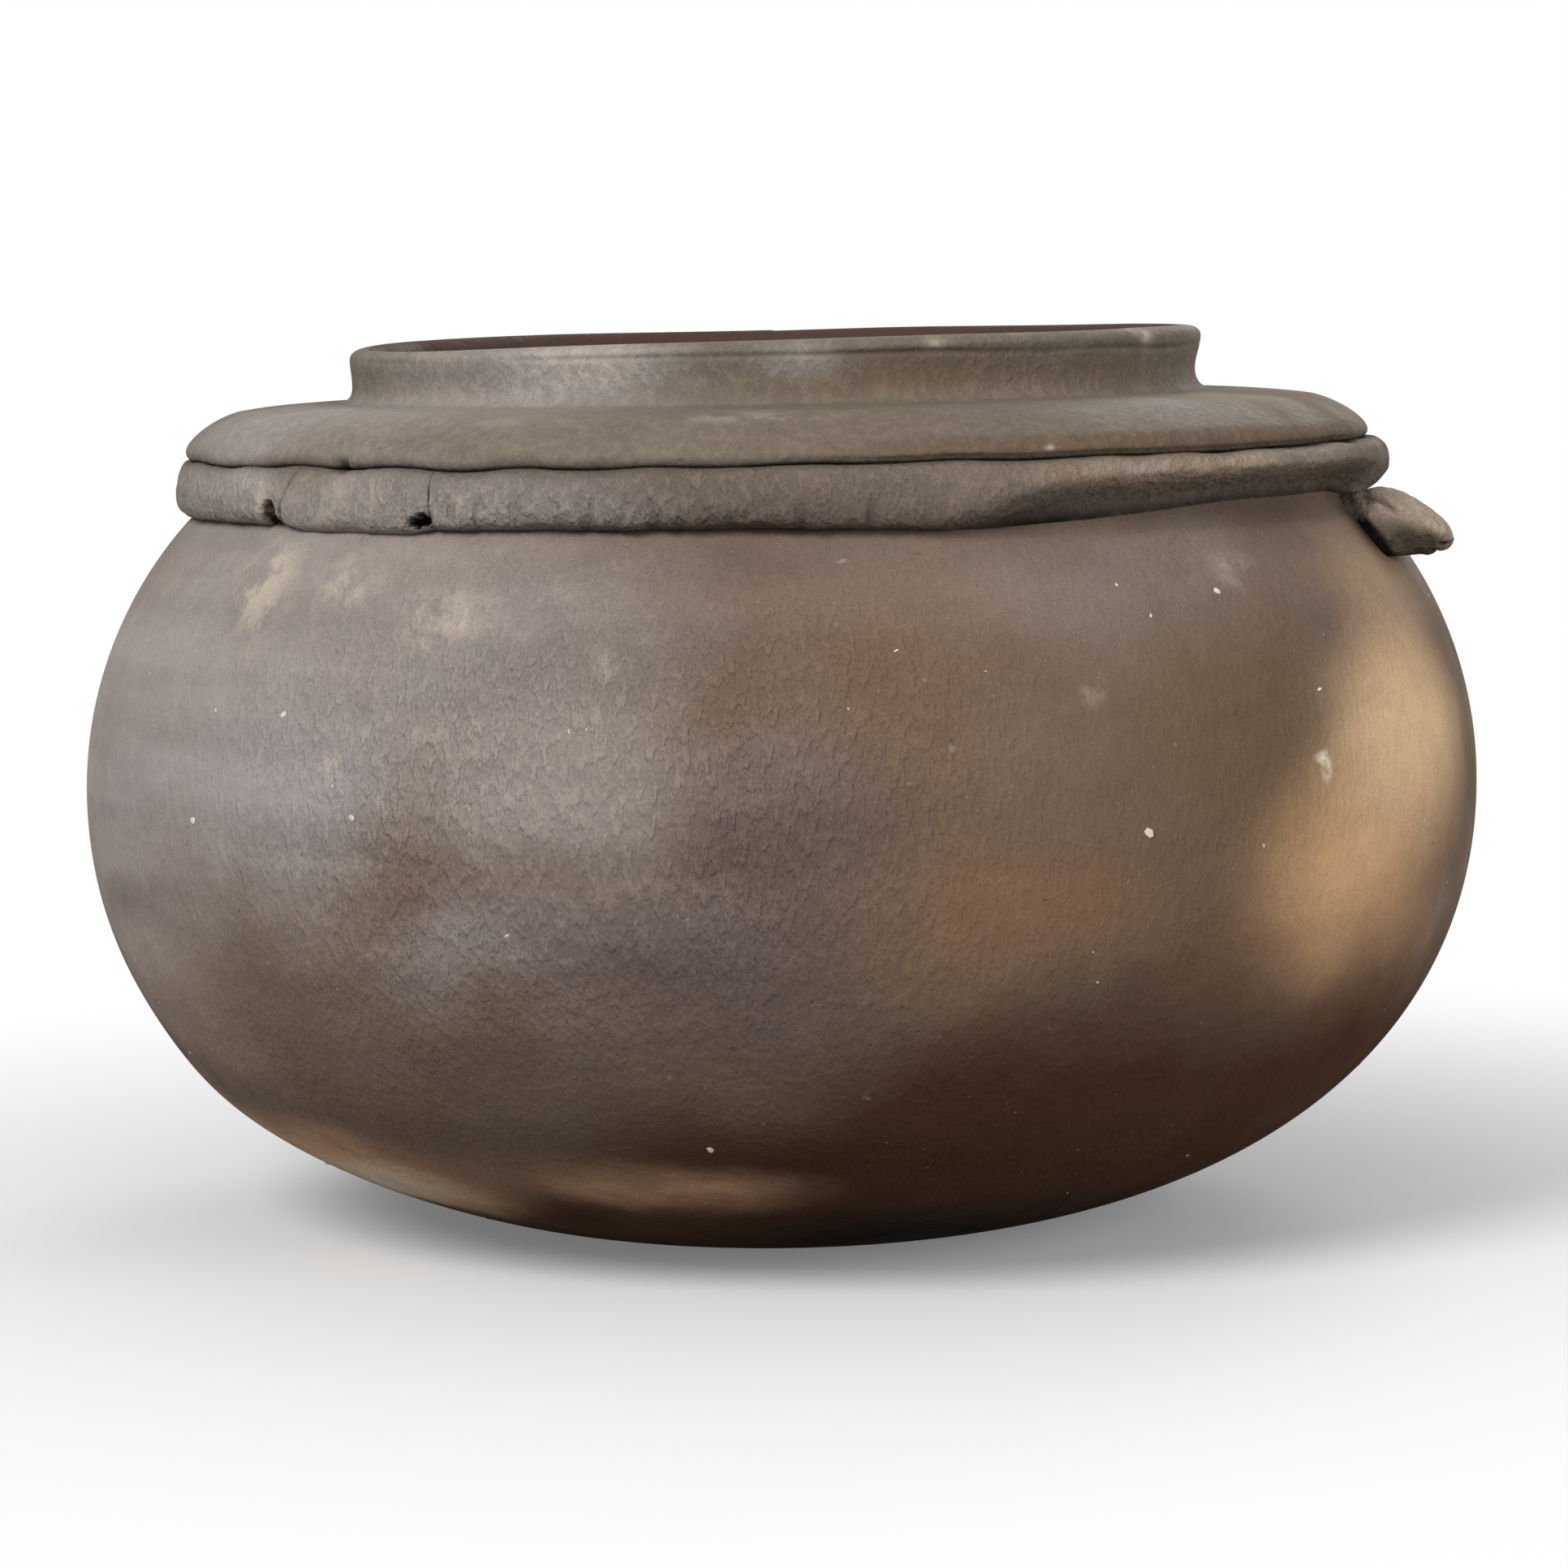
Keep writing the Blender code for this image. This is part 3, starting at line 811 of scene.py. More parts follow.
# Where bare pale clay shows, most of it on the left of the shoulder.
PALE_PATCHES = [
    Cloud(-50, 0.1180, 0.013, 0.018, "cream", 0.90, 0.9),
    Cloud(-39, 0.1190, 0.010, 0.006, "cream", 0.65, 0.9),
    Cloud(-28, 0.1135, 0.012, 0.008, "cream", 0.70, 0.9),
    Cloud(43, 0.1190, 0.0080, 0.0050, "cream", 0.35, 0.9),
    Cloud(24, 0.1030, 0.0040, 0.0050, "cream", 0.45, 0.9),
    Cloud(-14, 0.1070, 0.0050, 0.0050, "cream", 0.40, 0.9),
    Cloud(-62, 0.0200, 0.0060, 0.0040, "cream", 0.60, 0.9),
    Cloud(200, 0.1120, 0.014, 0.008, "cream", 0.45, 0.9),
]
# Flashes near the foot, and the soot that is left under them.
FOOT_FLASHES = [
    Cloud(-24, 0.0210, 0.032, 0.0080, "tan", 0.20, 1.0),
    Cloud(-13, 0.0175, 0.036, 0.0078, "tan", 0.95, 1.0),
    Cloud(-60, 0.0178, 0.056, 0.0120, "tan", 1.00, 0.90),
    Cloud(-48, 0.0135, 0.034, 0.0078, "ochre", 1.00, 0.90),
    Cloud(-51, 0.0140, 0.028, 0.0066, "chalk", 1.00, 0.95),
    Cloud(128, 0.0200, 0.036, 0.0080, "tan", 0.60, 0.9),
    Cloud(24, 0.0060, 0.056, 0.0130, "char", 0.97, 0.8),
    Cloud(52, 0.0200, 0.050, 0.0140, "soot_and_shade", 0.60, 0.95),
]


def opaque(colour_value):
    """A colour with its full cover, as node sockets take it."""
    return (*colour_value, 1.0)


def cloud_place(sizes, cloud):
    """The point of the pot's outside at which a cloud lies."""
    bowl = belly(sizes, np.linspace(0.0, 2.0, FINE_PLACES))
    ledge = [(sizes.ledge_radius, sizes.ledge_nose), (sizes.crest_radius, sizes.crest_height)]
    neck = [(sizes.neck_radius, sizes.crest_height + 0.004), (sizes.neck_radius, sizes.rim_height)]
    outline = np.concatenate([bowl, ledge, neck])
    radius = float(np.interp(cloud.height, outline[:, 1], outline[:, 0]))
    angle = math.radians(cloud.angle)
    return (radius * math.sin(angle), -radius * math.cos(angle), cloud.height)


def cloud_share(sheet, sizes, cloud, vector, elsewhere=0.0):
    """The strength of a soft-edged cloud in its middle, and what is left of it elsewhere."""
    size = (1.0 / cloud.width, 1.0 / cloud.width, 1.0 / cloud.rise)
    away = sheet.length(sheet.move(vector, cloud_place(sizes, cloud), size))
    return sheet.ramp(away, 1.0, 1.0 - cloud.edge, elsewhere, cloud.strength)


def lay_clouds(sheet, sizes, colours, shade, vector, clouds, breakup=None):
    """Mixes clouds into a colour, whole or broken up."""
    for cloud in clouds:
        share = cloud_share(sheet, sizes, cloud, vector)
        if breakup is not None:
            share = sheet.math("MULTIPLY", share, breakup)
        shade = sheet.mix(share, shade, opaque(getattr(colours, cloud.colour)))
    return shade


# The part of the belly where the slip dried in pebbles.
PEBBLED = Cloud(-16, 0.086, 0.092, 0.056, "umber", 1.30, 0.85)
PEBBLES_ELSEWHERE = 0.30

# How the surface of a piece was worked: the stretch of its strokes, their depth, the contrast of the painted
# shade and highlight that follow them, and the tint that its clay has from the start.
Working = namedtuple("Working", "stretch depth streak tint tint_share")

BURNISHED = Working((1.0, 1.0, 0.42), 0.00036, 0.07, "umber", 0.0)
WIPED = Working((0.8, 0.8, 0.6), 0.00055, 0.28, "drab", 0.80)
COMBED = Working((1.0, 1.0, 0.55), 0.00115, 0.30, "drab", 0.50)
PINCHED = Working((1.0, 1.0, 1.0), 0.00090, 0.26, "cream", 0.50)

# How coarse each unevenness of the clay is: the scale, the detail and the roughness of its noise.
DRIFT = (26.0, 4.0, 0.55)
BODY = (18.0, 3.0)
ASHES = (34.0, 3.0)
TEARS = (130.0, 5.0, 0.65)
LICKS = (70.0, 5.0, 0.65)
MOTTLE = (150.0, 4.0, 0.6)
WRINKLES = (740.0, 2.6, 0.58)
BANDS = (110.0, 3.0)
SPECKS = (2400.0, 1.0)
LUMPS = (210.0, 3.0)
PORES = (620.0, 1.0)
FLECKS = (430.0, 2.0)
PATCHES = (16.0, 2.0)
SHEEN = (60.0, 4.0)

DRIFT_REACH = 0.034
EASED_DRIFT = 0.3
LICK_STRETCH = (0.6, 0.6, 1.6)
BAND_STRETCH = (0.10, 0.10, 1.0)
LUMP_SHARE = 0.5
PORE_DEPTH = 0.00012
DARKENED_DULLNESS = 0.25
CLAY_GLOSS = 0.03

Skin = namedtuple("Skin", "mottle wrinkle lumps pore pebbled")


def new_finish(name):
    """A new material, with its sheet, its shader and the place of each point on the pot."""
    material = bpy.data.materials.new(name)
    material.use_nodes = True
    sheet = NodeSheet(material.node_tree)
    shader = material.node_tree.nodes["Principled BSDF"]
    return material, sheet, shader, sheet.add("ShaderNodeTexCoord").outputs["Object"]


def clay_skin(sheet, sizes, working, at):
    """The small unevennesses that both the tone and the relief read."""
    strokes = sheet.move(at, scale=working.stretch)
    return Skin(
        mottle=sheet.noise(at, *MOTTLE)[0],
        wrinkle=sheet.ramp(sheet.noise(strokes, *WRINKLES)[0], 0.36, 0.70),
        lumps=sheet.noise(at, *LUMPS)[0],
        pore=sheet.ramp(sheet.noise(at, *PORES)[0], 0.74, 0.82),
        pebbled=cloud_share(sheet, sizes, PEBBLED, at, PEBBLES_ELSEWHERE),
    )


def smoke_and_shade_share(sheet, place):
    """Smoke that climbs from the foot, higher on the right than on the left, with painted shade towards the
    bottom.
    """
    climb = sheet.ramp(place["X"], -0.090, 0.040, -0.020, 0.020)
    return sheet.ramp(sheet.math("SUBTRACT", place["Z"], climb), 0.044, 0.012, 0.0, 0.95)


def fired_colour(sheet, sizes, colours, working, at, drifted, smoke_and_shade):
    """The colours that the fire left, from the body of the clay to the flashes at the foot, and painted light
    and shade.
    """
    eased = sheet.node("ShaderNodeMix", {0: EASED_DRIFT, 4: at, 5: drifted}, data_type="VECTOR").outputs[1]
    warm = sheet.ramp(sheet.noise(at, *BODY)[0], 0.35, 0.65, 0.0, 0.4)
    shade = sheet.mix(warm, opaque(colours.umber), opaque(colours.russet))
    pale = sheet.ramp(sheet.noise(at, *ASHES)[0], 0.45, 0.70, 0.0, 0.15)
    shade = sheet.mix(pale, shade, opaque(colours.ash))
    shade = sheet.mix(working.tint_share, shade, opaque(getattr(colours, working.tint)))
    shade = lay_clouds(sheet, sizes, colours, shade, drifted, FIRE_CLOUDS)
    shade = lay_clouds(sheet, sizes, colours, shade, eased, FLASHES)
    shade = lay_clouds(sheet, sizes, colours, shade, at, TRIM_CLOUDS)
    # Smoke and painted shade darken the clay towards the foot.
    shade = sheet.mix(smoke_and_shade, shade, opaque(colours.soot_and_shade))
    torn = sheet.ramp(sheet.noise(at, *TEARS)[0], 0.40, 0.58)
    shade = lay_clouds(sheet, sizes, colours, shade, eased, PALE_PATCHES, torn)
    shade = lay_clouds(sheet, sizes, colours, shade, at, SMUDGES, torn)
    licked = sheet.noise(sheet.move(at, scale=LICK_STRETCH), *LICKS)[0]
    licked = sheet.ramp(licked, 0.36, 0.56, 0.60, 1.0)
    return lay_clouds(sheet, sizes, colours, shade, eased, FOOT_FLASHES, licked)


def hand_tone(sheet, working, skin, at, across):
    """How light the clay is, from its mottling, specks, wiped bands and pores, and its strokes with painted
    shade and highlight.
    """
    # Painted shade in the hollows of the strokes and a painted highlight on their ridges, with dirt and
    # burnish.
    streak = sheet.ramp(skin.wrinkle, 0.0, 1.0, -working.streak, working.streak)
    streak = sheet.math("MULTIPLY", streak, skin.pebbled)
    tone = sheet.math("ADD", sheet.ramp(skin.mottle, 0.25, 0.75, 0.94, 1.06), streak)
    tone = sheet.math("ADD", tone, sheet.ramp(sheet.noise(at, *SPECKS)[0], 0.25, 0.75, -0.09, 0.09))
    band = sheet.noise(sheet.move(at, scale=BAND_STRETCH), *BANDS)[0]
    less_on_right = sheet.ramp(across, -0.03, 0.05, 1.0, 0.25)
    banded = sheet.math("MULTIPLY", sheet.ramp(band, 0.30, 0.70, -0.10, 0.10), less_on_right)
    tone = sheet.math("ADD", tone, banded)
    tone = sheet.math("MULTIPLY", tone, sheet.ramp(skin.pore, 0.0, 1.0, 1.0, 0.84))
    return sheet.out("ShaderNodeCombineColor", {0: tone, 1: tone, 2: tone})


def clay_relief(sheet, working, skin, at):
    """The bump of the pebbles, the lumps and the pores."""
    patchy = sheet.ramp(sheet.noise(at, *PATCHES)[0], 0.35, 0.65, 0.7, 1.2)
    relief = sheet.math("ADD", skin.wrinkle, sheet.math("MULTIPLY", skin.lumps, LUMP_SHARE))
    relief = sheet.math("MULTIPLY", relief, working.depth)
    relief = sheet.math("MULTIPLY", relief, sheet.math("MULTIPLY", skin.pebbled, patchy))
    relief = sheet.math("ADD", relief, sheet.math("MULTIPLY", skin.pore, -PORE_DEPTH))
    return sheet.out("ShaderNodeBump", {"Strength": 1.0, "Distance": 1.0, "Height": relief})


def clay_finish(name, sizes, colours, working):
    """Smoke-fired clay: fire clouds, mottling, strokes, pores, rubbed edges and packed soil, and painted
    light and shade.
    """
    material, sheet, shader, at = new_finish(name)
    drifted = sheet.vector("ADD", at, sheet.jitter(at, DRIFT, DRIFT_REACH))
    place = sheet.node("ShaderNodeSeparateXYZ", {0: drifted}).outputs
    smoke_and_shade = smoke_and_shade_share(sheet, place)
    skin = clay_skin(sheet, sizes, working, at)
    shade = fired_colour(sheet, sizes, colours, working, at, drifted, smoke_and_shade)
    shade = sheet.mix(1.0, shade, hand_tone(sheet, working, skin, at, place["X"]), "MULTIPLY")
    fleck = sheet.ramp(sheet.noise(at, *FLECKS)[0], 0.72, 0.80, 0.0, 0.25)
    shade = sheet.mix(fleck, shade, opaque(colours.cream))
    # Lighten with cream where the clay is rubbed bare, and where a highlight is painted on the serpent's
    # ridge and the head's crown.
    wear_and_highlight_cover = sheet.math("MULTIPLY", sheet.attribute("wear"), sheet.ramp(skin.mottle, 0.40, 0.62), True)
    shade = sheet.mix(wear_and_highlight_cover, shade, opaque(colours.cream))
    # Darken towards black where soil and soot packed in, and where shade is painted in the groove, the holes,
    # the creases and under the serpent and its head.
    soil_and_shade_cover = sheet.ramp(skin.lumps, 0.20, 0.50, 0.6, 1.0)
    soil_and_shade_cover = sheet.math("MULTIPLY", sheet.attribute("soil"), soil_and_shade_cover, True)
    shade = sheet.mix(soil_and_shade_cover, shade, opaque(colours.char))
    shade = sheet.mix(sheet.attribute("inside"), shade, opaque(colours.ember))
    rough = sheet.ramp(sheet.noise(at, *SHEEN)[0], 0.3, 0.7, 0.54, 0.72)
    # Darkened places, painted shade among them, are duller.
    darkened_dullness = sheet.math("MULTIPLY", sheet.math("MAXIMUM", soil_and_shade_cover, smoke_and_shade), DARKENED_DULLNESS)
    sheet.feed(shader.inputs["Base Color"], shade)
    sheet.feed(shader.inputs["Roughness"], sheet.math("ADD", rough, darkened_dullness))
    sheet.feed(shader.inputs["Normal"], clay_relief(sheet, working, skin, at))
    shader.inputs["Specular IOR Level"].default_value = CLAY_GLOSS
    return material


STAINED = (240.0, 3.0)
GRAIN_RELIEF = 0.0001


def grain_finish(colours):
    """White temper: dull crushed stone or shell, a little stained."""
    material, sheet, shader, at = new_finish("temper_grain")
    stain = sheet.noise(at, *STAINED)[0]
    shade = sheet.mix(sheet.ramp(stain, 0.3, 0.7), opaque(colours.cream), opaque(colours.chalk))
    relief = sheet.math("MULTIPLY", stain, GRAIN_RELIEF)
    sheet.feed(shader.inputs["Base Color"], shade)
    sheet.feed(shader.inputs["Roughness"], sheet.ramp(stain, 0.2, 0.8, 0.6, 0.85))
    sheet.feed(shader.inputs["Normal"], sheet.out("ShaderNodeBump", {"Distance": 1.0, "Height": relief}))
    return material


# Geometry node trees


def new_tree(name, inputs):
    """A geometry node tree with named inputs: its sheet, what it is given and where its result goes."""
    tree = bpy.data.node_groups.new(name, "GeometryNodeTree")
    for label, kind in [("Geometry", "Geometry")] + inputs:
        tree.interface.new_socket(name=label, in_out="INPUT", socket_type="NodeSocket" + kind)
    tree.interface.new_socket(name="Geometry", in_out="OUTPUT", socket_type="NodeSocketGeometry")
    sheet = NodeSheet(tree)
    return sheet, sheet.add("NodeGroupInput").outputs, sheet.add("NodeGroupOutput").inputs[0]


def finish_tree(sheet, geometry, material, result):
    """Every tree ends by making its instances real and giving them their finish."""
    real = sheet.out("GeometryNodeRealizeInstances", {"Geometry": geometry})
    coated = sheet.out("GeometryNodeSetMaterial", {"Geometry": real, "Material": material})
    sheet.feed(result, coated)
    return sheet.tree


def mesh_from_tree(name, base, tree, values):
    """The plain mesh that a tree makes from a base mesh with these inputs."""
    source = add_object(name + "_source", base)
    modifier = source.modifiers.new(tree.name, "NODES")
    modifier.node_group = tree
    sockets = {item.name: item.identifier for item in tree.interface.items_tree if item.in_out == "INPUT"}
    for label, value in values.items():
        modifier[sockets[label]] = value
    depsgraph = bpy.context.evaluated_depsgraph_get()
    mesh = bpy.data.meshes.new_from_object(source.evaluated_get(depsgraph))
    mesh.name = name
    bpy.data.objects.remove(source, do_unlink=True)
    return mesh


def float_curve(sheet, value, points):
    """A curve round the pot, drawn through given points of angle in degrees and height of the curve."""
    node = sheet.node("ShaderNodeFloatCurve", {"Value": value})
    curve = node.mapping.curves[0]
    places = [((angle + 180.0) / 360.0, level) for angle, level in points]
    curve.points[0].location = places[0]
    curve.points[1].location = places[-1]
    for place in places[1:-1]:
        curve.points.new(*place)
    node.mapping.update()
    return node.outputs[0]


# The serpent's section round the pot, as shares at angles: its reach, the height of its ridge, and how hollow
# it is under the ridge.
REACH_LOW, REACH_HIGH = 0.1070, 0.1120
COIL_REACH = [(-180, 0.36), (-90, 0.18), (-40, 0.22), (0, 0.36), (60, 0.56), (100, 0.60), (180, 0.36)]
COIL_RIDGE = [
    (-180, 0.42),
    (-60, 0.34),
    (-20, 0.36),
    (6, 0.30),
    (18, 0.48),
    (32, 0.74),
    (66, 0.72),
    (95, 0.50),
    (180, 0.42),
]
COIL_HOLLOW = [
    (-180, 0.20),
    (-60, 0.17),
    (6, 0.24),
    (18, 0.42),
    (32, 0.95),
    (68, 1.0),
    (90, 0.30),
    (110, 0.18),
    (180, 0.20),
]
BLUNT, HOLLOW = 0.30, 3.2
TOP_FULLNESS = 0.50
COIL_LUMPS = (130.0, 2.0)


def stored(sheet, geometry, name, value):
    """Geometry whose points remember a value."""
    return sheet.out("GeometryNodeStoreNamedAttribute", {"Geometry": geometry, "Name": name, "Value": value})


def recalled(sheet, name, kind="FLOAT"):
    """A value that the points remember."""
    return sheet.out("GeometryNodeInputNamedAttribute", {"Name": name}, data_type=kind)


def coil_tube(sheet, given):
    """A plain tube, whose points remember how far along and how far round it they are."""
    factor = sheet.add("GeometryNodeSplineParameter").outputs["Factor"]
    line = sheet.out("GeometryNodeCurvePrimitiveLine", {"End": (1.0, 0.0, 0.0)})
    path = sheet.out("GeometryNodeResampleCurve", {"Curve": line, "Count": given["Steps"]})
    section = sheet.out("GeometryNodeCurvePrimitiveCircle", {"Resolution": given["Sides"]})
    inputs = {
        "Curve": stored(sheet, path, "along", factor),
        "Profile Curve": stored(sheet, section, "round", factor),
        "Fill Caps": True,
    }
    return sheet.out("GeometryNodeCurveToMesh", inputs)


def coil_places(sheet, given):
    """Where the points of the tube go on the pot, and how far outward each one faces."""
    swept = sheet.math("MULTIPLY", given["Sweep"], recalled(sheet, "along"))
    turn = sheet.math("ADD", given["Start"], swept)
    lap = sheet.math("FRACT", sheet.math("ADD", sheet.math("DIVIDE", turn, 2.0 * math.pi), 0.5))
    reach = sheet.between(float_curve(sheet, lap, COIL_REACH), REACH_LOW, REACH_HIGH)
    ridge = float_curve(sheet, lap, COIL_RIDGE)
    hollow = sheet.between(float_curve(sheet, lap, COIL_HOLLOW), BLUNT, HOLLOW)

    roll = sheet.math("MULTIPLY", recalled(sheet, "round"), 2.0 * math.pi)
    outward = sheet.math("MAXIMUM", sheet.math("COSINE", roll), 0.0)
    above = sheet.math("GREATER_THAN", sheet.math("SINE", roll), 0.0)
    outward = sheet.math("POWER", outward, sheet.out("ShaderNodeMix", {0: above, 2: hollow, 3: TOP_FULLNESS}))
    rise = sheet.math("ADD", sheet.math("MULTIPLY", sheet.math("SINE", roll), 0.5), 0.5)
    skew = sheet.math("DIVIDE", sheet.math("LOGARITHM", ridge, math.e), math.log(0.5))
    rise = sheet.math("POWER", rise, skew)
    height = sheet.between(rise, given["Foot Height"], given["Top Height"])
    seat = sheet.between(rise, given["Foot Radius"], given["Top Radius"])
    radius = sheet.math("ADD", seat, sheet.math("MULTIPLY", sheet.math("SUBTRACT", reach, seat), outward))
    x = sheet.math("MULTIPLY", radius, sheet.math("SINE", turn))
    y = sheet.math("MULTIPLY", radius, sheet.math("MULTIPLY", sheet.math("COSINE", turn), -1.0))
    return sheet.out("ShaderNodeCombineXYZ", {0: x, 1: y, 2: height}), outward


def coil_tree():
    """Sweeps the serpent's section along its arc, with a ridge and a reach that change on the way round."""
    lengths = ["Start", "Sweep", "Foot Height", "Top Height", "Foot Radius", "Top Radius", "Unevenness"]
    inputs = [(label, "Float") for label in lengths]
    inputs += [("Steps", "Int"), ("Sides", "Int"), ("Finish", "Material")]
    sheet, given, result = new_tree("Serpent Coil", inputs)
    place, outward = coil_places(sheet, given)
    shaped = sheet.out("GeometryNodeSetPosition", {"Geometry": coil_tube(sheet, given), "Position": place})
    at = sheet.add("GeometryNodeInputPosition").outputs[0]
    lump = sheet.math("SUBTRACT", sheet.noise(at, *COIL_LUMPS)[0], 0.5)
    lump = sheet.math("MULTIPLY", sheet.math("MULTIPLY", lump, given["Unevenness"]), outward)
    push = sheet.scaled(sheet.add("GeometryNodeInputNormal").outputs[0], lump)
    pressed = sheet.out("GeometryNodeSetPosition", {"Geometry": shaped, "Offset": push})
    return finish_tree(sheet, pressed, given["Finish"], result)


CHIPPED = (2.3, 1.0)
CHIP_REACH = 1.8
GRAIN_FLATNESS = 0.30
SLIMMEST = 0.35
SLIM_RANGE = 0.5


def random_share(sheet, limits):
    """A random number for each point, between limits if they are given."""
    chance = sheet.add("FunctionNodeRandomValue", data_type="FLOAT")
    for socket in chance.inputs:
        if socket.enabled and socket.name in limits:
            sheet.feed(socket, limits[socket.name])
    return next(socket for socket in chance.outputs if socket.enabled)


def sow(sheet, points, rotation, width):
    """Sets a chipped, flattened grain at each point, spun and slimmed by chance."""
    ball = sheet.out("GeometryNodeMeshIcoSphere", {"Radius": 1.0, "Subdivisions": 1})
    corner = sheet.add("GeometryNodeInputPosition").outputs[0]
    chips = sheet.jitter(corner, CHIPPED, CHIP_REACH)
    grain = sheet.out("GeometryNodeSetPosition", {"Geometry": ball, "Offset": chips})
    chance = random_share(sheet, {})
    angle = sheet.math("MULTIPLY", chance, 2.0 * math.pi)
    spin = sheet.out("FunctionNodeAxisAngleToRotation", {"Axis": (0.0, 0.0, 1.0), "Angle": angle})
    rotation = sheet.out("FunctionNodeRotateRotation", {0: rotation, 1: spin}, rotation_space="LOCAL")
    slim = sheet.math("ADD", sheet.math("MULTIPLY", chance, SLIM_RANGE), SLIMMEST)
    breadth = sheet.math("MULTIPLY", width, slim)
    flat = sheet.math("MULTIPLY", width, GRAIN_FLATNESS)
    scale = sheet.out("ShaderNodeCombineXYZ", {0: width, 1: breadth, 2: flat})
    inputs = {"Points": points, "Instance": grain, "Rotation": rotation, "Scale": scale}
    return sheet.out("GeometryNodeInstanceOnPoints", inputs)


def grain_tree():
    """Sinks flat grains into a wall: some at marked points, and the rest scattered by a fixed seed."""
    inputs = [("Wall", "Object"), ("Density", "Float"), ("Seed", "Int")]
    inputs += [("Smallest", "Float"), ("Largest", "Float"), ("Finish", "Material")]
    sheet, given, result = new_tree("Temper Grains", inputs)
    wall = sheet.node("GeometryNodeObjectInfo", {"Object": given["Wall"]}).outputs["Geometry"]
    scatter = {"Mesh": wall, "Density": given["Density"], "Seed": given["Seed"]}
    spread = sheet.node("GeometryNodeDistributePointsOnFaces", scatter).outputs
    limits = {"Min": given["Smallest"], "Max": given["Largest"], "Seed": given["Seed"]}
    scattered = sow(sheet, spread["Points"], spread["Rotation"], random_share(sheet, limits))
    facing = {"Vector": recalled(sheet, "facing", "FLOAT_VECTOR")}
    turned = sheet.out("FunctionNodeAlignRotationToVector", facing, axis="Z")
    placed = sow(sheet, given["Geometry"], turned, recalled(sheet, "size"))
    both = sheet.add("GeometryNodeJoinGeometry")
    for grains in (scattered, placed):
        sheet.feed(both.inputs[0], grains)
    return finish_tree(sheet, both.outputs[0], given["Finish"], result)


# Pieces


def settings():
    """The sizes, the colours and the stage's settings."""
    scene = bpy.context.scene
    return scene.vase_sizes, scene.vase_colours, scene.vase_stage


WALL_NODES = [
    ("first_course", "lower_clay"),
    ("second_course", "lower_clay"),
    ("third_course", "upper_clay"),
    ("fourth_course", "upper_clay"),
]
FOOT_ROWS = 24


class VASE_OT_bowl(bpy.types.Operator):
    """Builds the foot and the four courses of the bowl"""

    bl_idname = "vase.bowl"
    bl_label = "Build Bowl"

    def execute(self, context):
        sizes, colours, _ = settings()
        finish = clay_finish("burnished_clay", sizes, colours, BURNISHED)
        inner = [joint - INNER_JOINT_DROP for joint in COURSE_JOINTS]
        for i, (name, slot) in enumerate(WALL_NODES):
            outside = stretch(belly, sizes, COURSE_JOINTS[i], COURSE_JOINTS[i + 1], ROW_STEP)
            inside = stretch(belly_inside, sizes, inner[i + 1], inner[i], INNER_ROW_STEP)
            turned_piece(sizes, name, outside, inside, finish)
        self.build_foot(sizes, finish, inner[0])
        return {"FINISHED"}

    def build_foot(self, sizes, finish, inner_joint):
        """The foot: a flat sole, the turn of its edge, and a shallow dish inside."""
        sole = np.stack([np.linspace(0.0, sizes.foot_radius, FOOT_ROWS), np.zeros(FOOT_ROWS)], axis=-1)
        edge = stretch(belly, sizes, 0.0, COURSE_JOINTS[0], ROW_STEP)
        rim = belly_inside(sizes, np.array([inner_joint]))[0]
        share = np.linspace(1.0, 0.0, FOOT_ROWS)
        depth = sizes.foot_thickness + (rim[1] - sizes.foot_thickness) * share**2
        dish = np.stack([rim[0] * share, depth], axis=-1)
        turned_piece(sizes, "foot_pad", np.concatenate([sole[:-1], edge]), dish, finish)


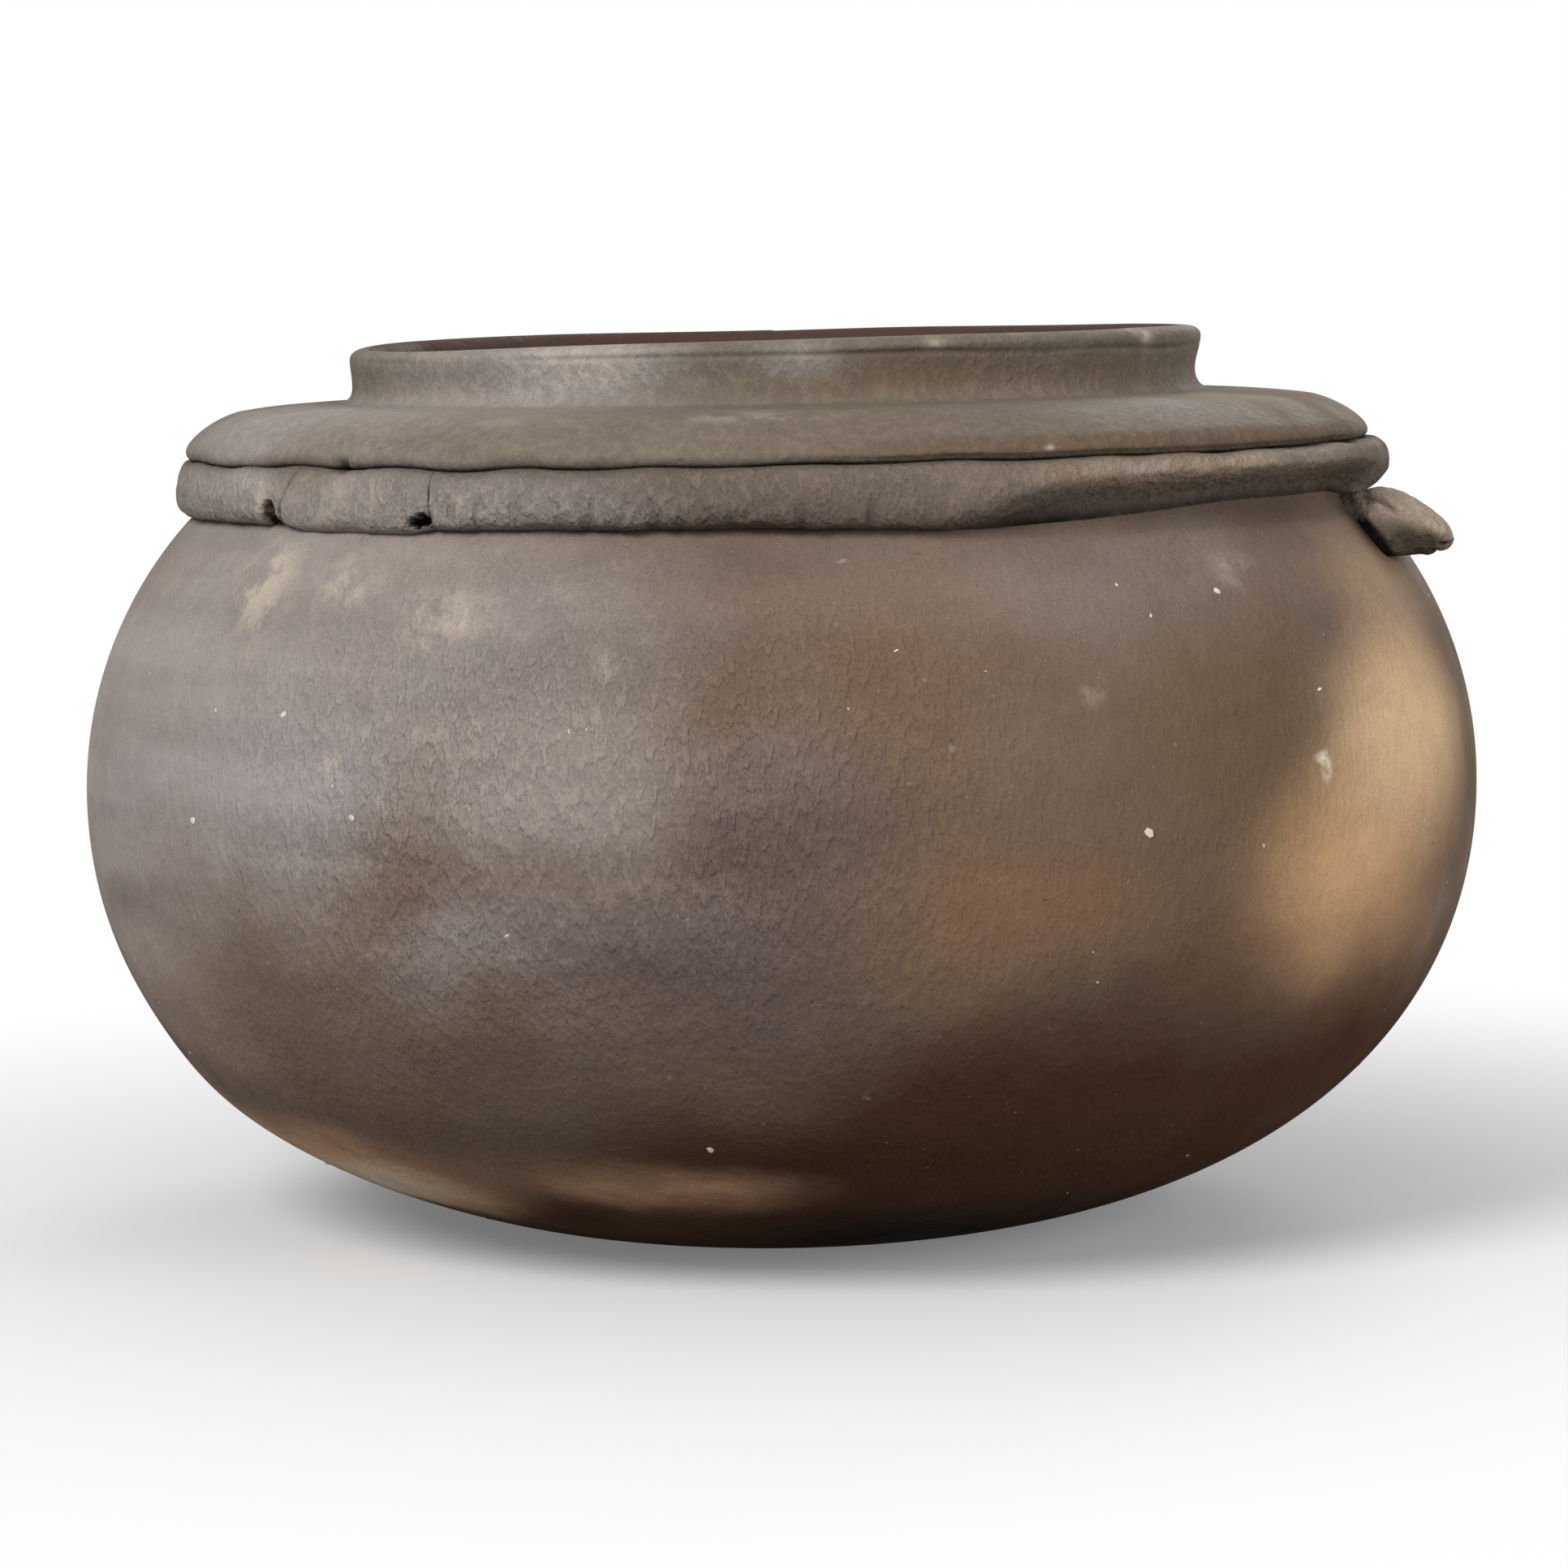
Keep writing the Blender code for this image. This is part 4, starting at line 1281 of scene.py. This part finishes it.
class VASE_OT_neck(bpy.types.Operator):
    """Builds the shoulder's ledge, the neck and its rolled lip"""

    bl_idname = "vase.neck"
    bl_label = "Build Shoulder and Neck"

    def execute(self, context):
        sizes, colours, _ = settings()
        finish = clay_finish("wiped_clay", sizes, colours, WIPED)
        self.build_ledge(sizes, finish)
        self.build_neck(sizes, finish)
        self.build_lip(sizes, finish)
        return {"FINISHED"}

    def build_ledge(self, sizes, finish):
        """The ledge: its seat behind the serpent, its roof over the groove, its face and its shelf."""
        seat = belly(sizes, np.array([COURSE_JOINTS[-1]]))[0]
        under = sizes.coil_top - 0.0001
        back = np.linspace(seat, (sizes.notch_radius, under), 8)
        roof = [
            (sizes.notch_radius, under),
            (sizes.ledge_radius - 0.0004, under),
            (sizes.ledge_radius, under + 0.0003),
            (sizes.ledge_radius, sizes.ledge_nose),
        ]
        face = [
            (sizes.ledge_radius, sizes.ledge_nose),
            (sizes.ledge_radius, sizes.ledge_nose + 0.0019),
            (sizes.crest_radius + 0.0046, sizes.crest_height - 0.0012),
            (sizes.crest_radius, sizes.crest_height),
        ]
        shelf = rows(shelf_curve(sizes), count=26)
        outside = np.concatenate([back[:-1], rows(roof, count=14)[:-1], rows(face, count=24)[:-1], shelf])
        inner_seat = belly_inside(sizes, np.array([COURSE_JOINTS[-1] - INNER_JOINT_DROP]))[0]
        throat = np.array([sizes.mouth_radius, sizes.rim_height - THROAT_DROP])
        vault = [throat, throat - [0.0, 0.003], (inner_seat[0], throat[1] - 0.006), inner_seat]
        turned_piece(sizes, "shoulder_ledge", outside, rows(vault, count=24), finish)

    def build_neck(self, sizes, finish):
        """The neck, from the fillet at its foot to the middle of its flare."""
        flare = bezier(flare_curve(sizes), np.linspace(0.0, FLARE_JOINT, 8))
        outside = np.concatenate([rows(fillet_curve(sizes), count=16)[:-1], flare])
        top = (sizes.mouth_radius, sizes.rim_height - LIP_BORE_DROP)
        bottom = (sizes.mouth_radius, sizes.rim_height - THROAT_DROP)
        turned_piece(sizes, "neck_collar", outside, np.linspace(top, bottom, 10), finish)

    def build_lip(self, sizes, finish):
        """The lip, from the middle of the flare over its crown and down into the mouth."""
        flare = bezier(flare_curve(sizes), np.linspace(FLARE_JOINT, 1.0, 22))
        nose = sizes.rim_height - LIP_NOSE_DROP
        bore = sizes.rim_height - LIP_BORE_DROP
        crown = (sizes.lip_radius - 0.0030, sizes.rim_height)
        shoulder = (sizes.lip_radius - 0.0008, sizes.rim_height)
        top = rows([flare[-1], (sizes.lip_radius, nose + 0.0009), shoulder, crown], count=12)
        inner = (sizes.mouth_radius + 0.0014, crown[1])
        roll = rows([crown, inner, (sizes.mouth_radius, nose), (sizes.mouth_radius, bore)], count=14)
        outside = np.concatenate([flare[:-1], top])
        turned_piece(sizes, "rolled_lip", outside, roll[1:], finish)


Length = namedtuple("Length", "node start end")
COIL_LENGTHS = [
    Length("serpent_coil_patch", -51.0, -32.0),
    Length("serpent_coil_front", -32.0, 84.0),
    Length("serpent_coil_back", 84.0, 309.0),
]
COIL_SIDES = 72
COIL_STEP = 0.0005
COIL_UNEVENNESS = 0.0014
PATCH_SAG = 0.0008
NICK_DEPTH = 0.0006
COIL_RISE = 0.0015
COIL_SAG = 0.0009
# Where the coil was lifted, nicked, pressed and parted, and where soot and painted shade darken its front,
# in degrees, and how far it gave, in metres.
COIL_LIFTS = (28.0, 50.0, 66.0, 76.0)
COIL_SAG_ANGLE = 20.0
COIL_SAG_WIDTH = 10.0
NICKED = (-36.0, -28.0, 6.0, 20.0)
SOOTED_AND_SHADED_FRONT = (-30.0, -10.0, 14.0, 40.0)
FINGERS = 46
FINGER_DEPTH = 0.00020
PINCH_DEPTH = 0.00025
CRACK_DEPTH = 0.0010
CRACK_WIDTH = 0.0004
PARTING_ANGLE = -51.0
PARTING_WIDTH = 4.0
PARTING_SLANT = math.radians(3.2)
PARTING_LEVEL = 0.3
EDGE_WAVE = 0.0006
EDGE_RAGGED = 0.0004
BACK_WAVE = 0.0003
SEAT_OVERLAP = 0.0004
BACK_SETBACK = 0.0020


class VASE_OT_coil(bpy.types.Operator):
    """Lays the serpent's body round the shoulder, in three lengths"""

    bl_idname = "vase.coil"
    bl_label = "Lay Serpent Coil"

    def execute(self, context):
        sizes, colours, _ = settings()
        finish = clay_finish("coil_clay", sizes, colours, COMBED)
        tree = coil_tree()
        for piece in COIL_LENGTHS:
            self.lay(sizes, finish, tree, piece)
        return {"FINISHED"}

    def lay(self, sizes, finish, tree, piece):
        """Sweeps one length, presses it and gives it the soot and painted shade of its seams and underside.
        """
        start = math.radians(piece.start)
        sweep = math.radians(piece.end) - start
        values = {
            "Start": start,
            "Sweep": sweep,
            "Steps": max(4, round(sweep * sizes.ledge_radius / COIL_STEP)),
            "Sides": COIL_SIDES,
            "Foot Height": sizes.coil_foot,
            "Top Height": sizes.coil_top,
            "Foot Radius": float(wall_radius(sizes, sizes.coil_foot)) - SEAT_OVERLAP,
            "Top Radius": sizes.ledge_radius - BACK_SETBACK,
            "Unevenness": COIL_UNEVENNESS,
            "Finish": finish,
        }
        mesh = mesh_from_tree(piece.node, bpy.data.meshes.new("coil_base"), tree, values)
        points = np.empty(len(mesh.vertices) * 3)
        mesh.vertices.foreach_get("co", points)
        points = self.press(sizes, points.reshape(-1, 3), piece)
        wear, soil = weathering(sizes, points, 0.0)
        soil = np.clip(soil + self.seam_soot_and_shade(sizes, points, piece), 0.0, 1.0)
        store_clay(mesh, wear, soil, np.zeros(len(points)))
        mesh.vertices.foreach_set("co", handmade(sizes, points).ravel())
        mesh.update()
        add_piece(piece.node, mesh, finish, [piece.node])

    def rise(self, sizes, height):
        """The share of the way from the coil's foot to its top."""
        return np.clip((height - sizes.coil_foot) / (sizes.coil_top - sizes.coil_foot), 0.0, 1.0)

    def to_ends(self, sizes, turn, piece):
        """Distances along the coil to its two ends."""
        start, end = math.radians(piece.start), math.radians(piece.end)
        from_start = np.angle(np.exp(1j * (turn - start))) * sizes.ledge_radius
        to_end = np.angle(np.exp(1j * (end - turn))) * sizes.ledge_radius
        return np.abs(from_start), np.abs(to_end)

    def press(self, sizes, points, piece):
        """Finger presses, tool nicks, ends that part only at the bottom, and a belly that sags and rises."""
        turn, radius, z = around(points)
        shown = smooth(0.0, 0.003, np.clip(radius - wall_radius(sizes, z), 0.0, None))
        rise = self.rise(sizes, z)
        fingers = 0.5 + 0.5 * np.cos(FINGERS * turn + 0.8 * np.sin(5.0 * turn))
        radius = radius - FINGER_DEPTH * fingers * shown
        radius = radius - PINCH_DEPTH * (1.0 - ripple(turn, z, 33, 40, 0.012)) * shown
        radius = radius - NICK_DEPTH * self.nicks(turn, z, rise) * shown
        from_start, to_end = self.to_ends(sizes, turn, piece)
        crack = np.exp(-from_start / CRACK_WIDTH) + np.exp(-to_end / CRACK_WIDTH)
        radius = radius - CRACK_DEPTH * smooth(0.45, 0.10, rise) * crack * shown
        slant = PARTING_SLANT * (rise - PARTING_LEVEL)
        turn = turn + slant * near_angle(turn, PARTING_ANGLE, PARTING_WIDTH)
        if piece.node == "serpent_coil_patch":
            z = z - PATCH_SAG * (1.0 - rise) * smooth(0.0, 0.006, np.minimum(from_start, to_end))
        z = z - (EDGE_WAVE * wave(turn, 35, 26) + EDGE_RAGGED * wave(turn, 36, 90)) * (1.0 - rise) * shown
        z = z + BACK_WAVE * wave(turn, 41, 44) * rise**4
        lifted = z + self.lift(turn) * (1.0 - rise)
        radius = radius + (wall_radius(sizes, lifted) - wall_radius(sizes, z)) * (1.0 - rise)
        return from_axis(turn, radius, lifted)

    def lift(self, turn):
        """How far the belly of the coil sags before it rises towards the head."""
        sag = near_angle(turn, COIL_SAG_ANGLE, COIL_SAG_WIDTH)
        return COIL_RISE * span(turn, COIL_LIFTS) - COIL_SAG * sag

    def nicks(self, turn, height, rise):
        """1 in the upright cuts that a tool left along the lower half of the front."""
        cut = smooth(0.10, 0.45, ripple(turn, height, 31, 190, 0.020))
        return cut * span(turn, NICKED) * smooth(0.66, 0.34, rise)

    def seam_soot_and_shade(self, sizes, points, piece):
        """Painted shade in the seams, the parting and the front's nicks, and soot with painted shade under
        the free edge and the front.
        """
        turn, _, height = around(points)
        rise = self.rise(sizes, height - self.lift(turn))
        from_start, to_end = self.to_ends(sizes, turn, piece)
        seam = (near(from_start, 0.0, CRACK_WIDTH) + near(to_end, 0.0, CRACK_WIDTH)) * smooth(0.5, 0.2, rise)
        slanted = math.radians(PARTING_ANGLE) + PARTING_SLANT * (rise - PARTING_LEVEL)
        parting = near(turn, slanted, math.radians(0.25)) * smooth(1.0, 0.7, rise)
        hung = 0.14 + 0.20 * smooth(0.45, 0.10, rise) + 0.25 * smooth(0.25, 0.05, rise)
        hung = hung * span(turn, UNDERCUT) * smooth(0.64, 0.46, rise)
        front = span(turn, SOOTED_AND_SHADED_FRONT) * smooth(0.55, 0.15, rise)
        cuts = self.nicks(turn, height, rise)
        return 0.6 * seam + 0.4 * parting + hung + 0.16 * cuts + 0.26 * front


# The head's outline above and below, as radius and height, and the sizes of what was pinched into it.
HEAD_CROWN = [(0.1052, 0.1286), (0.1112, 0.1318), (0.1170, 0.1268), (0.1224, 0.1224)]
HEAD_JAW = [(0.1128, 0.1178), (0.1155, 0.1178), (0.1190, 0.1178), (0.1224, 0.1190)]
HEAD_HALF_WIDTH = 0.0060
HEAD_NECK_SHIFT = 0.0042
CHEEK_LEVEL = 0.32
HEAD_RINGS = 60
HEAD_SIDES = 64
HEAD_CROWDING = 1.6
SNOUT_ROUND = 0.86
SNOUT_TIP = 0.0002
SNOUT_WEAR = 0.3
ROOT_SUNK = 0.0006
MOUTH_LEVEL = 0.22
MOUTH_DEPTH = 0.0004
NOTCH_DEPTH = 0.0006
FOLD_DEPTH = 0.0005
PINCH_RELIEF = 0.00022


class VASE_OT_head(bpy.types.Operator):
    """Pinches the serpent's head under the coil"""

    bl_idname = "vase.head"
    bl_label = "Pinch Serpent Head"

    def execute(self, context):
        sizes, colours, _ = settings()
        finish = clay_finish("head_clay", sizes, colours, PINCHED)
        rings, soil, wear = [], [], []
        for share in 1.0 - np.linspace(1.0, 0.0, HEAD_RINGS) ** HEAD_CROWDING:
            ring, dark_share, lightened_share = self.section(sizes, share)
            rings.append(handmade(sizes, ring))
            soil.append(dark_share)
            wear.append(lightened_share)
        root = rings[0].mean(axis=0, keepdims=True)
        snout = rings[-1].mean(axis=0, keepdims=True) + self.outward() * SNOUT_TIP
        mesh = ring_mesh("serpent_head", [root] + rings + [snout], closed_round=False)
        soil = np.concatenate([[0.0]] + soil + [[0.0]])
        wear = np.concatenate([[0.0]] + wear + [[SNOUT_WEAR]])
        store_clay(mesh, wear, soil, np.zeros(len(mesh.vertices)))
        add_piece("serpent_head", mesh, finish, ["serpent_head"])
        return {"FINISHED"}

    def outward(self):
        """The way that the head looks."""
        return np.array([math.sin(HEAD_ANGLE), -math.cos(HEAD_ANGLE), 0.0])

    def section(self, sizes, share):
        """One ring of the head: a broad pinched crown, a cheek that turns under, a nick for the mouth, and
        painted shade and highlight.
        """
        turn = full_turn(HEAD_SIDES)
        level = (0.5 + 0.5 * np.sin(turn)) ** (math.log(CHEEK_LEVEL) / math.log(0.5))
        mouth = near(level, MOUTH_LEVEL, 0.07) * smooth(0.80, 0.90, share)
        notch = near(share, 0.13, 0.06) * near(level, 0.84, 0.16)
        fold = near(level, 0.96 - 0.9 * (share - 0.12), 0.06)
        fold = fold * smooth(0.08, 0.16, share) * smooth(0.46, 0.34, share)
        fold = np.where(np.cos(turn) < 0.0, fold, 0.0)
        ring = self.ring(sizes, share, turn, level, mouth, notch, fold)
        # Painted shade under the cheek, in the mouth, the notch and the fold, and in the crease at the root.
        cheek = 0.86 * smooth(0.72, 0.32, level) * smooth(1.12, 0.78, share)
        root = near(share, 0.0, 0.07)
        soil = np.clip(0.6 * mouth + cheek + 0.5 * notch + 0.55 * fold + 0.8 * root, 0.0, 1.0)
        # A painted highlight on the lit crown, with some rubbed wear.
        wear = 0.45 * smooth(0.45, 0.75, level) * smooth(0.12, 0.35, share)
        return ring, soil, wear

    def ring(self, sizes, share, turn, level, mouth, notch, fold):
        """The points of a section, from its crown down to its jaw and round."""
        crown = bezier(HEAD_CROWN, share)
        chin = 0.0005 * near(share, 0.72, 0.05) - 0.0003 * near(share, 0.60, 0.08)
        jaw = bezier(HEAD_JAW, share) + [0.0, chin]
        middle = jaw + (crown - jaw) * level[:, None]
        half_width = HEAD_HALF_WIDTH * math.sqrt(1.0 - 0.88 * share**2.5)
        fullness = np.where(np.sin(turn) > 0.0, 0.62, 0.85)
        across = half_width * np.sign(np.cos(turn)) * np.abs(np.cos(turn)) ** fullness
        pinch = ripple(turn, share, 51, 7, 0.22) + 0.6 * ripple(turn, share, 52, 15, 0.10)
        across = across * (1.0 - 0.20 * mouth + 0.045 * pinch - 0.10 * fold)
        reach = middle[:, 0] - MOUTH_DEPTH * mouth
        height = middle[:, 1] + PINCH_RELIEF * pinch * smooth(0.3, 0.8, level)
        height = height - NOTCH_DEPTH * notch - FOLD_DEPTH * fold
        across = across - HEAD_NECK_SHIFT * (1.0 - smooth(0.0, 0.55, share))
        if share == 0.0:
            reach = np.sqrt((wall_radius(sizes, height) - ROOT_SUNK) ** 2 - across**2)
        sideways = np.array([math.cos(HEAD_ANGLE), math.sin(HEAD_ANGLE), 0.0])
        ring = reach[:, None] * self.outward() + across[:, None] * sideways
        ring[:, 2] = height
        past = max(0.0, share - SNOUT_ROUND) / (1.0 - SNOUT_ROUND)
        centre = ring.mean(axis=0)
        return centre + (ring - centre) * math.sqrt(1.0 - 0.96 * past**2)


Grain = namedtuple("Grain", "angle height size")

# The largest grains of temper, in degrees and metres.
LARGE_GRAINS = [
    Grain(-52, 0.0793, 0.00090),
    Grain(-34, 0.0820, 0.00075),
    Grain(-42, 0.0978, 0.00080),
    Grain(28, 0.0782, 0.00105),
    Grain(39, 0.1154, 0.00090),
    Grain(46, 0.0872, 0.00070),
    Grain(47, 0.0986, 0.00070),
    Grain(-21, 0.0639, 0.00055),
    Grain(-7, 0.0270, 0.00085),
    Grain(-63, 0.0157, 0.00110),
    Grain(-16, 0.0966, 0.00050),
    Grain(9, 0.1085, 0.00050),
    Grain(150, 0.0900, 0.00080),
    Grain(-140, 0.0700, 0.00090),
]
GRAIN_SEED = 17
SMALLEST_GRAIN = 0.00015
LARGEST_GRAIN = 0.00045
GRAINS_FROM, GRAINS_TO = 0.10, 1.78
GRAIN_LEAN = 1.6


class VASE_OT_grains(bpy.types.Operator):
    """Sinks grains of temper into the outside of the bowl"""

    bl_idname = "vase.grains"
    bl_label = "Sink Temper Grains"

    def execute(self, context):
        sizes, colours, _ = settings()
        skin = self.skin(sizes)
        values = {
            "Wall": skin,
            "Density": float(sizes.grain_count),
            "Seed": GRAIN_SEED,
            "Smallest": SMALLEST_GRAIN,
            "Largest": LARGEST_GRAIN,
            "Finish": grain_finish(colours),
        }
        mesh = mesh_from_tree("temper_grains", self.marks(sizes), grain_tree(), values)
        add_piece("temper_grains", mesh, values["Finish"], [])
        bpy.data.objects.remove(skin, do_unlink=True)
        return {"FINISHED"}

    def skin(self, sizes):
        """The bowl's outside alone, for the grains to be scattered on."""
        outline = stretch(belly, sizes, GRAINS_FROM, GRAINS_TO, ROW_STEP)
        rings = [handmade(sizes, even_ring(radius, height)) for radius, height in outline]
        return add_object("bowl_skin", ring_mesh("bowl_skin", rings, closed_round=False))

    def marks(self, sizes):
        """Points for the largest grains, each with its size and the way it faces."""
        mesh = bpy.data.meshes.new("grain_marks")
        flat = np.array([cloud_place(sizes, grain) for grain in LARGE_GRAINS])
        mesh.from_pydata(handmade(sizes, flat).tolist(), [], [])
        store(mesh, "size", [grain.size for grain in LARGE_GRAINS])
        facing = flat * [1.0, 1.0, 0.0]
        facing[:, 2] = (flat[:, 2] - sizes.belly_height) * GRAIN_LEAN
        layer = mesh.attributes.new("facing", "FLOAT_VECTOR", "POINT")
        layer.data.foreach_set("vector", facing.ravel())
        return mesh


# Stage

# Each lamp's name, place and width.
LAMPS = [
    ("key", (-0.80, -1.15, 1.05), 0.8),
    ("fill", (1.15, -1.00, 0.50), 0.9),
    ("back", (0.60, 1.50, 0.90), 0.9),
]
LAMP_AIM = Vector((0.0, 0.0, 0.08))
CAMERA_AIM = Vector((0.0003, 0.0, 0.0764))
SENSOR_WIDTH = 36.0
FLOOR_RADIUS = 6.0
FLOOR_SIDES = 96
FLOOR_HEIGHT = -0.0004
FLOOR_BOUNCE = (0.27, 0.25, 0.235, 1.0)
# Where the shadow starts and stops fading into white, from the axis, and the white that it holds.
SHADOW_ENDS = (0.11, 0.34)
WHITE_IN_SHADOW = 0.16


def seen_directly(sheet):
    """1 for rays from the camera, and for those that gloss or glass sends on."""
    path = sheet.add("ShaderNodeLightPath").outputs
    seen = sheet.math("MAXIMUM", path["Is Camera Ray"], path["Is Glossy Ray"])
    return sheet.math("MAXIMUM", seen, path["Is Transmission Ray"])


def floor_finish(stage):
    """A pale floor that keeps the pot's shadow and runs out into white."""
    material = bpy.data.materials.new("studio_floor")
    material.use_nodes = True
    sheet = NodeSheet(material.node_tree)
    nodes = material.node_tree.nodes
    nodes.remove(nodes["Principled BSDF"])
    at = sheet.add("ShaderNodeTexCoord").outputs["Object"]
    far = sheet.ramp(sheet.length(at), *SHADOW_ENDS, WHITE_IN_SHADOW, 1.0)
    seen = seen_directly(sheet)
    shade = sheet.mix(seen, FLOOR_BOUNCE, opaque(stage.floor))
    matte = sheet.out("ShaderNodeBsdfDiffuse", {"Color": shade})
    white = sheet.out("ShaderNodeEmission", {"Strength": 1.0})
    blend = sheet.out("ShaderNodeMixShader", {0: sheet.math("MULTIPLY", far, seen), 1: matte, 2: white})
    sheet.feed(nodes["Material Output"].inputs["Surface"], blend)
    return material


class VASE_OT_stage(bpy.types.Operator):
    """Sets the floor, the soft light and the camera"""

    bl_idname = "vase.stage"
    bl_label = "Set Stage"

    def execute(self, context):
        _, _, stage = settings()
        self.lay_floor(stage)
        self.light_sky(stage)
        for name, place, size in LAMPS:
            self.hang_lamp(name + "_lamp", place, size, getattr(stage, name))
        self.set_camera(stage)
        context.scene.view_settings.view_transform = "Standard"
        return {"FINISHED"}

    def lay_floor(self, stage):
        """A wide round floor, just under the foot."""
        turns = full_turn(FLOOR_SIDES)
        level = np.full(FLOOR_SIDES, FLOOR_HEIGHT)
        rim = np.stack([FLOOR_RADIUS * np.cos(turns), FLOOR_RADIUS * np.sin(turns), level], axis=-1)
        mesh = ring_mesh("studio_floor", [rim, np.array([[0.0, 0.0, FLOOR_HEIGHT]])], closed_round=False)
        mesh.materials.append(floor_finish(stage))
        add_object("studio_floor", mesh)

    def light_sky(self, stage):
        """A white sky that lights the pot less than it shows."""
        world = bpy.data.worlds.new("studio_sky")
        world.use_nodes = True
        sheet = NodeSheet(world.node_tree)
        strength = sheet.ramp(seen_directly(sheet), 0.0, 1.0, stage.sky, 1.0)
        back = world.node_tree.nodes["Background"]
        back.inputs["Color"].default_value = (1.0, 1.0, 1.0, 1.0)
        sheet.feed(back.inputs["Strength"], strength)
        bpy.context.scene.world = world

    def hang_lamp(self, name, place, size, power):
        """A round soft lamp that faces the pot."""
        lamp = bpy.data.lights.new(name, "AREA")
        lamp.shape = "DISK"
        lamp.size = size
        lamp.energy = power
        hung = add_object(name, lamp)
        hung.location = place
        hung.rotation_euler = (LAMP_AIM - Vector(place)).to_track_quat("-Z", "Y").to_euler()

    def set_camera(self, stage):
        """The camera of the photo, pitched down and rolled a little."""
        view = bpy.data.cameras.new("photo_view")
        view.lens = stage.lens
        view.sensor_width = SENSOR_WIDTH
        camera = add_object("photo_view", view)
        forward = Vector((0.0, math.cos(stage.pitch), -math.sin(stage.pitch)))
        upright = forward.to_track_quat("-Z", "Y").to_matrix() @ Matrix.Rotation(-stage.roll, 3, "Z")
        camera.matrix_world = Matrix.Translation(CAMERA_AIM - forward * stage.distance) @ upright.to_4x4()
        bpy.context.scene.camera = camera


# The add-on

STEPS = [VASE_OT_bowl, VASE_OT_neck, VASE_OT_coil, VASE_OT_head, VASE_OT_grains, VASE_OT_stage]


class VASE_PT_panel(bpy.types.Panel):
    """Lists the steps of the build and their settings"""

    bl_idname = "VASE_PT_panel"
    bl_label = "Serpent Vase"
    bl_space_type = "VIEW_3D"
    bl_region_type = "UI"
    bl_category = "Vase"

    def draw(self, context):
        for group in settings():
            box = self.layout.box()
            for name in group.bl_rna.properties.keys():
                if name not in ("rna_type", "name"):
                    box.prop(group, name)
        for step in STEPS:
            self.layout.operator(step.bl_idname)


GROUPS = {"vase_sizes": VaseSizes, "vase_colours": VaseColours, "vase_stage": VaseStage}


def register():
    for group in GROUPS.values():
        bpy.utils.register_class(group)
    for name, group in GROUPS.items():
        setattr(bpy.types.Scene, name, PointerProperty(type=group))
    for step in STEPS:
        bpy.utils.register_class(step)
    bpy.utils.register_class(VASE_PT_panel)


def unregister():
    bpy.utils.unregister_class(VASE_PT_panel)
    for step in reversed(STEPS):
        bpy.utils.unregister_class(step)
    for name, group in GROUPS.items():
        delattr(bpy.types.Scene, name)
        bpy.utils.unregister_class(group)


def main():
    register()
    for step in STEPS:
        area, name = step.bl_idname.split(".")
        getattr(getattr(bpy.ops, area), name)()


if __name__ == "__main__":
    main()
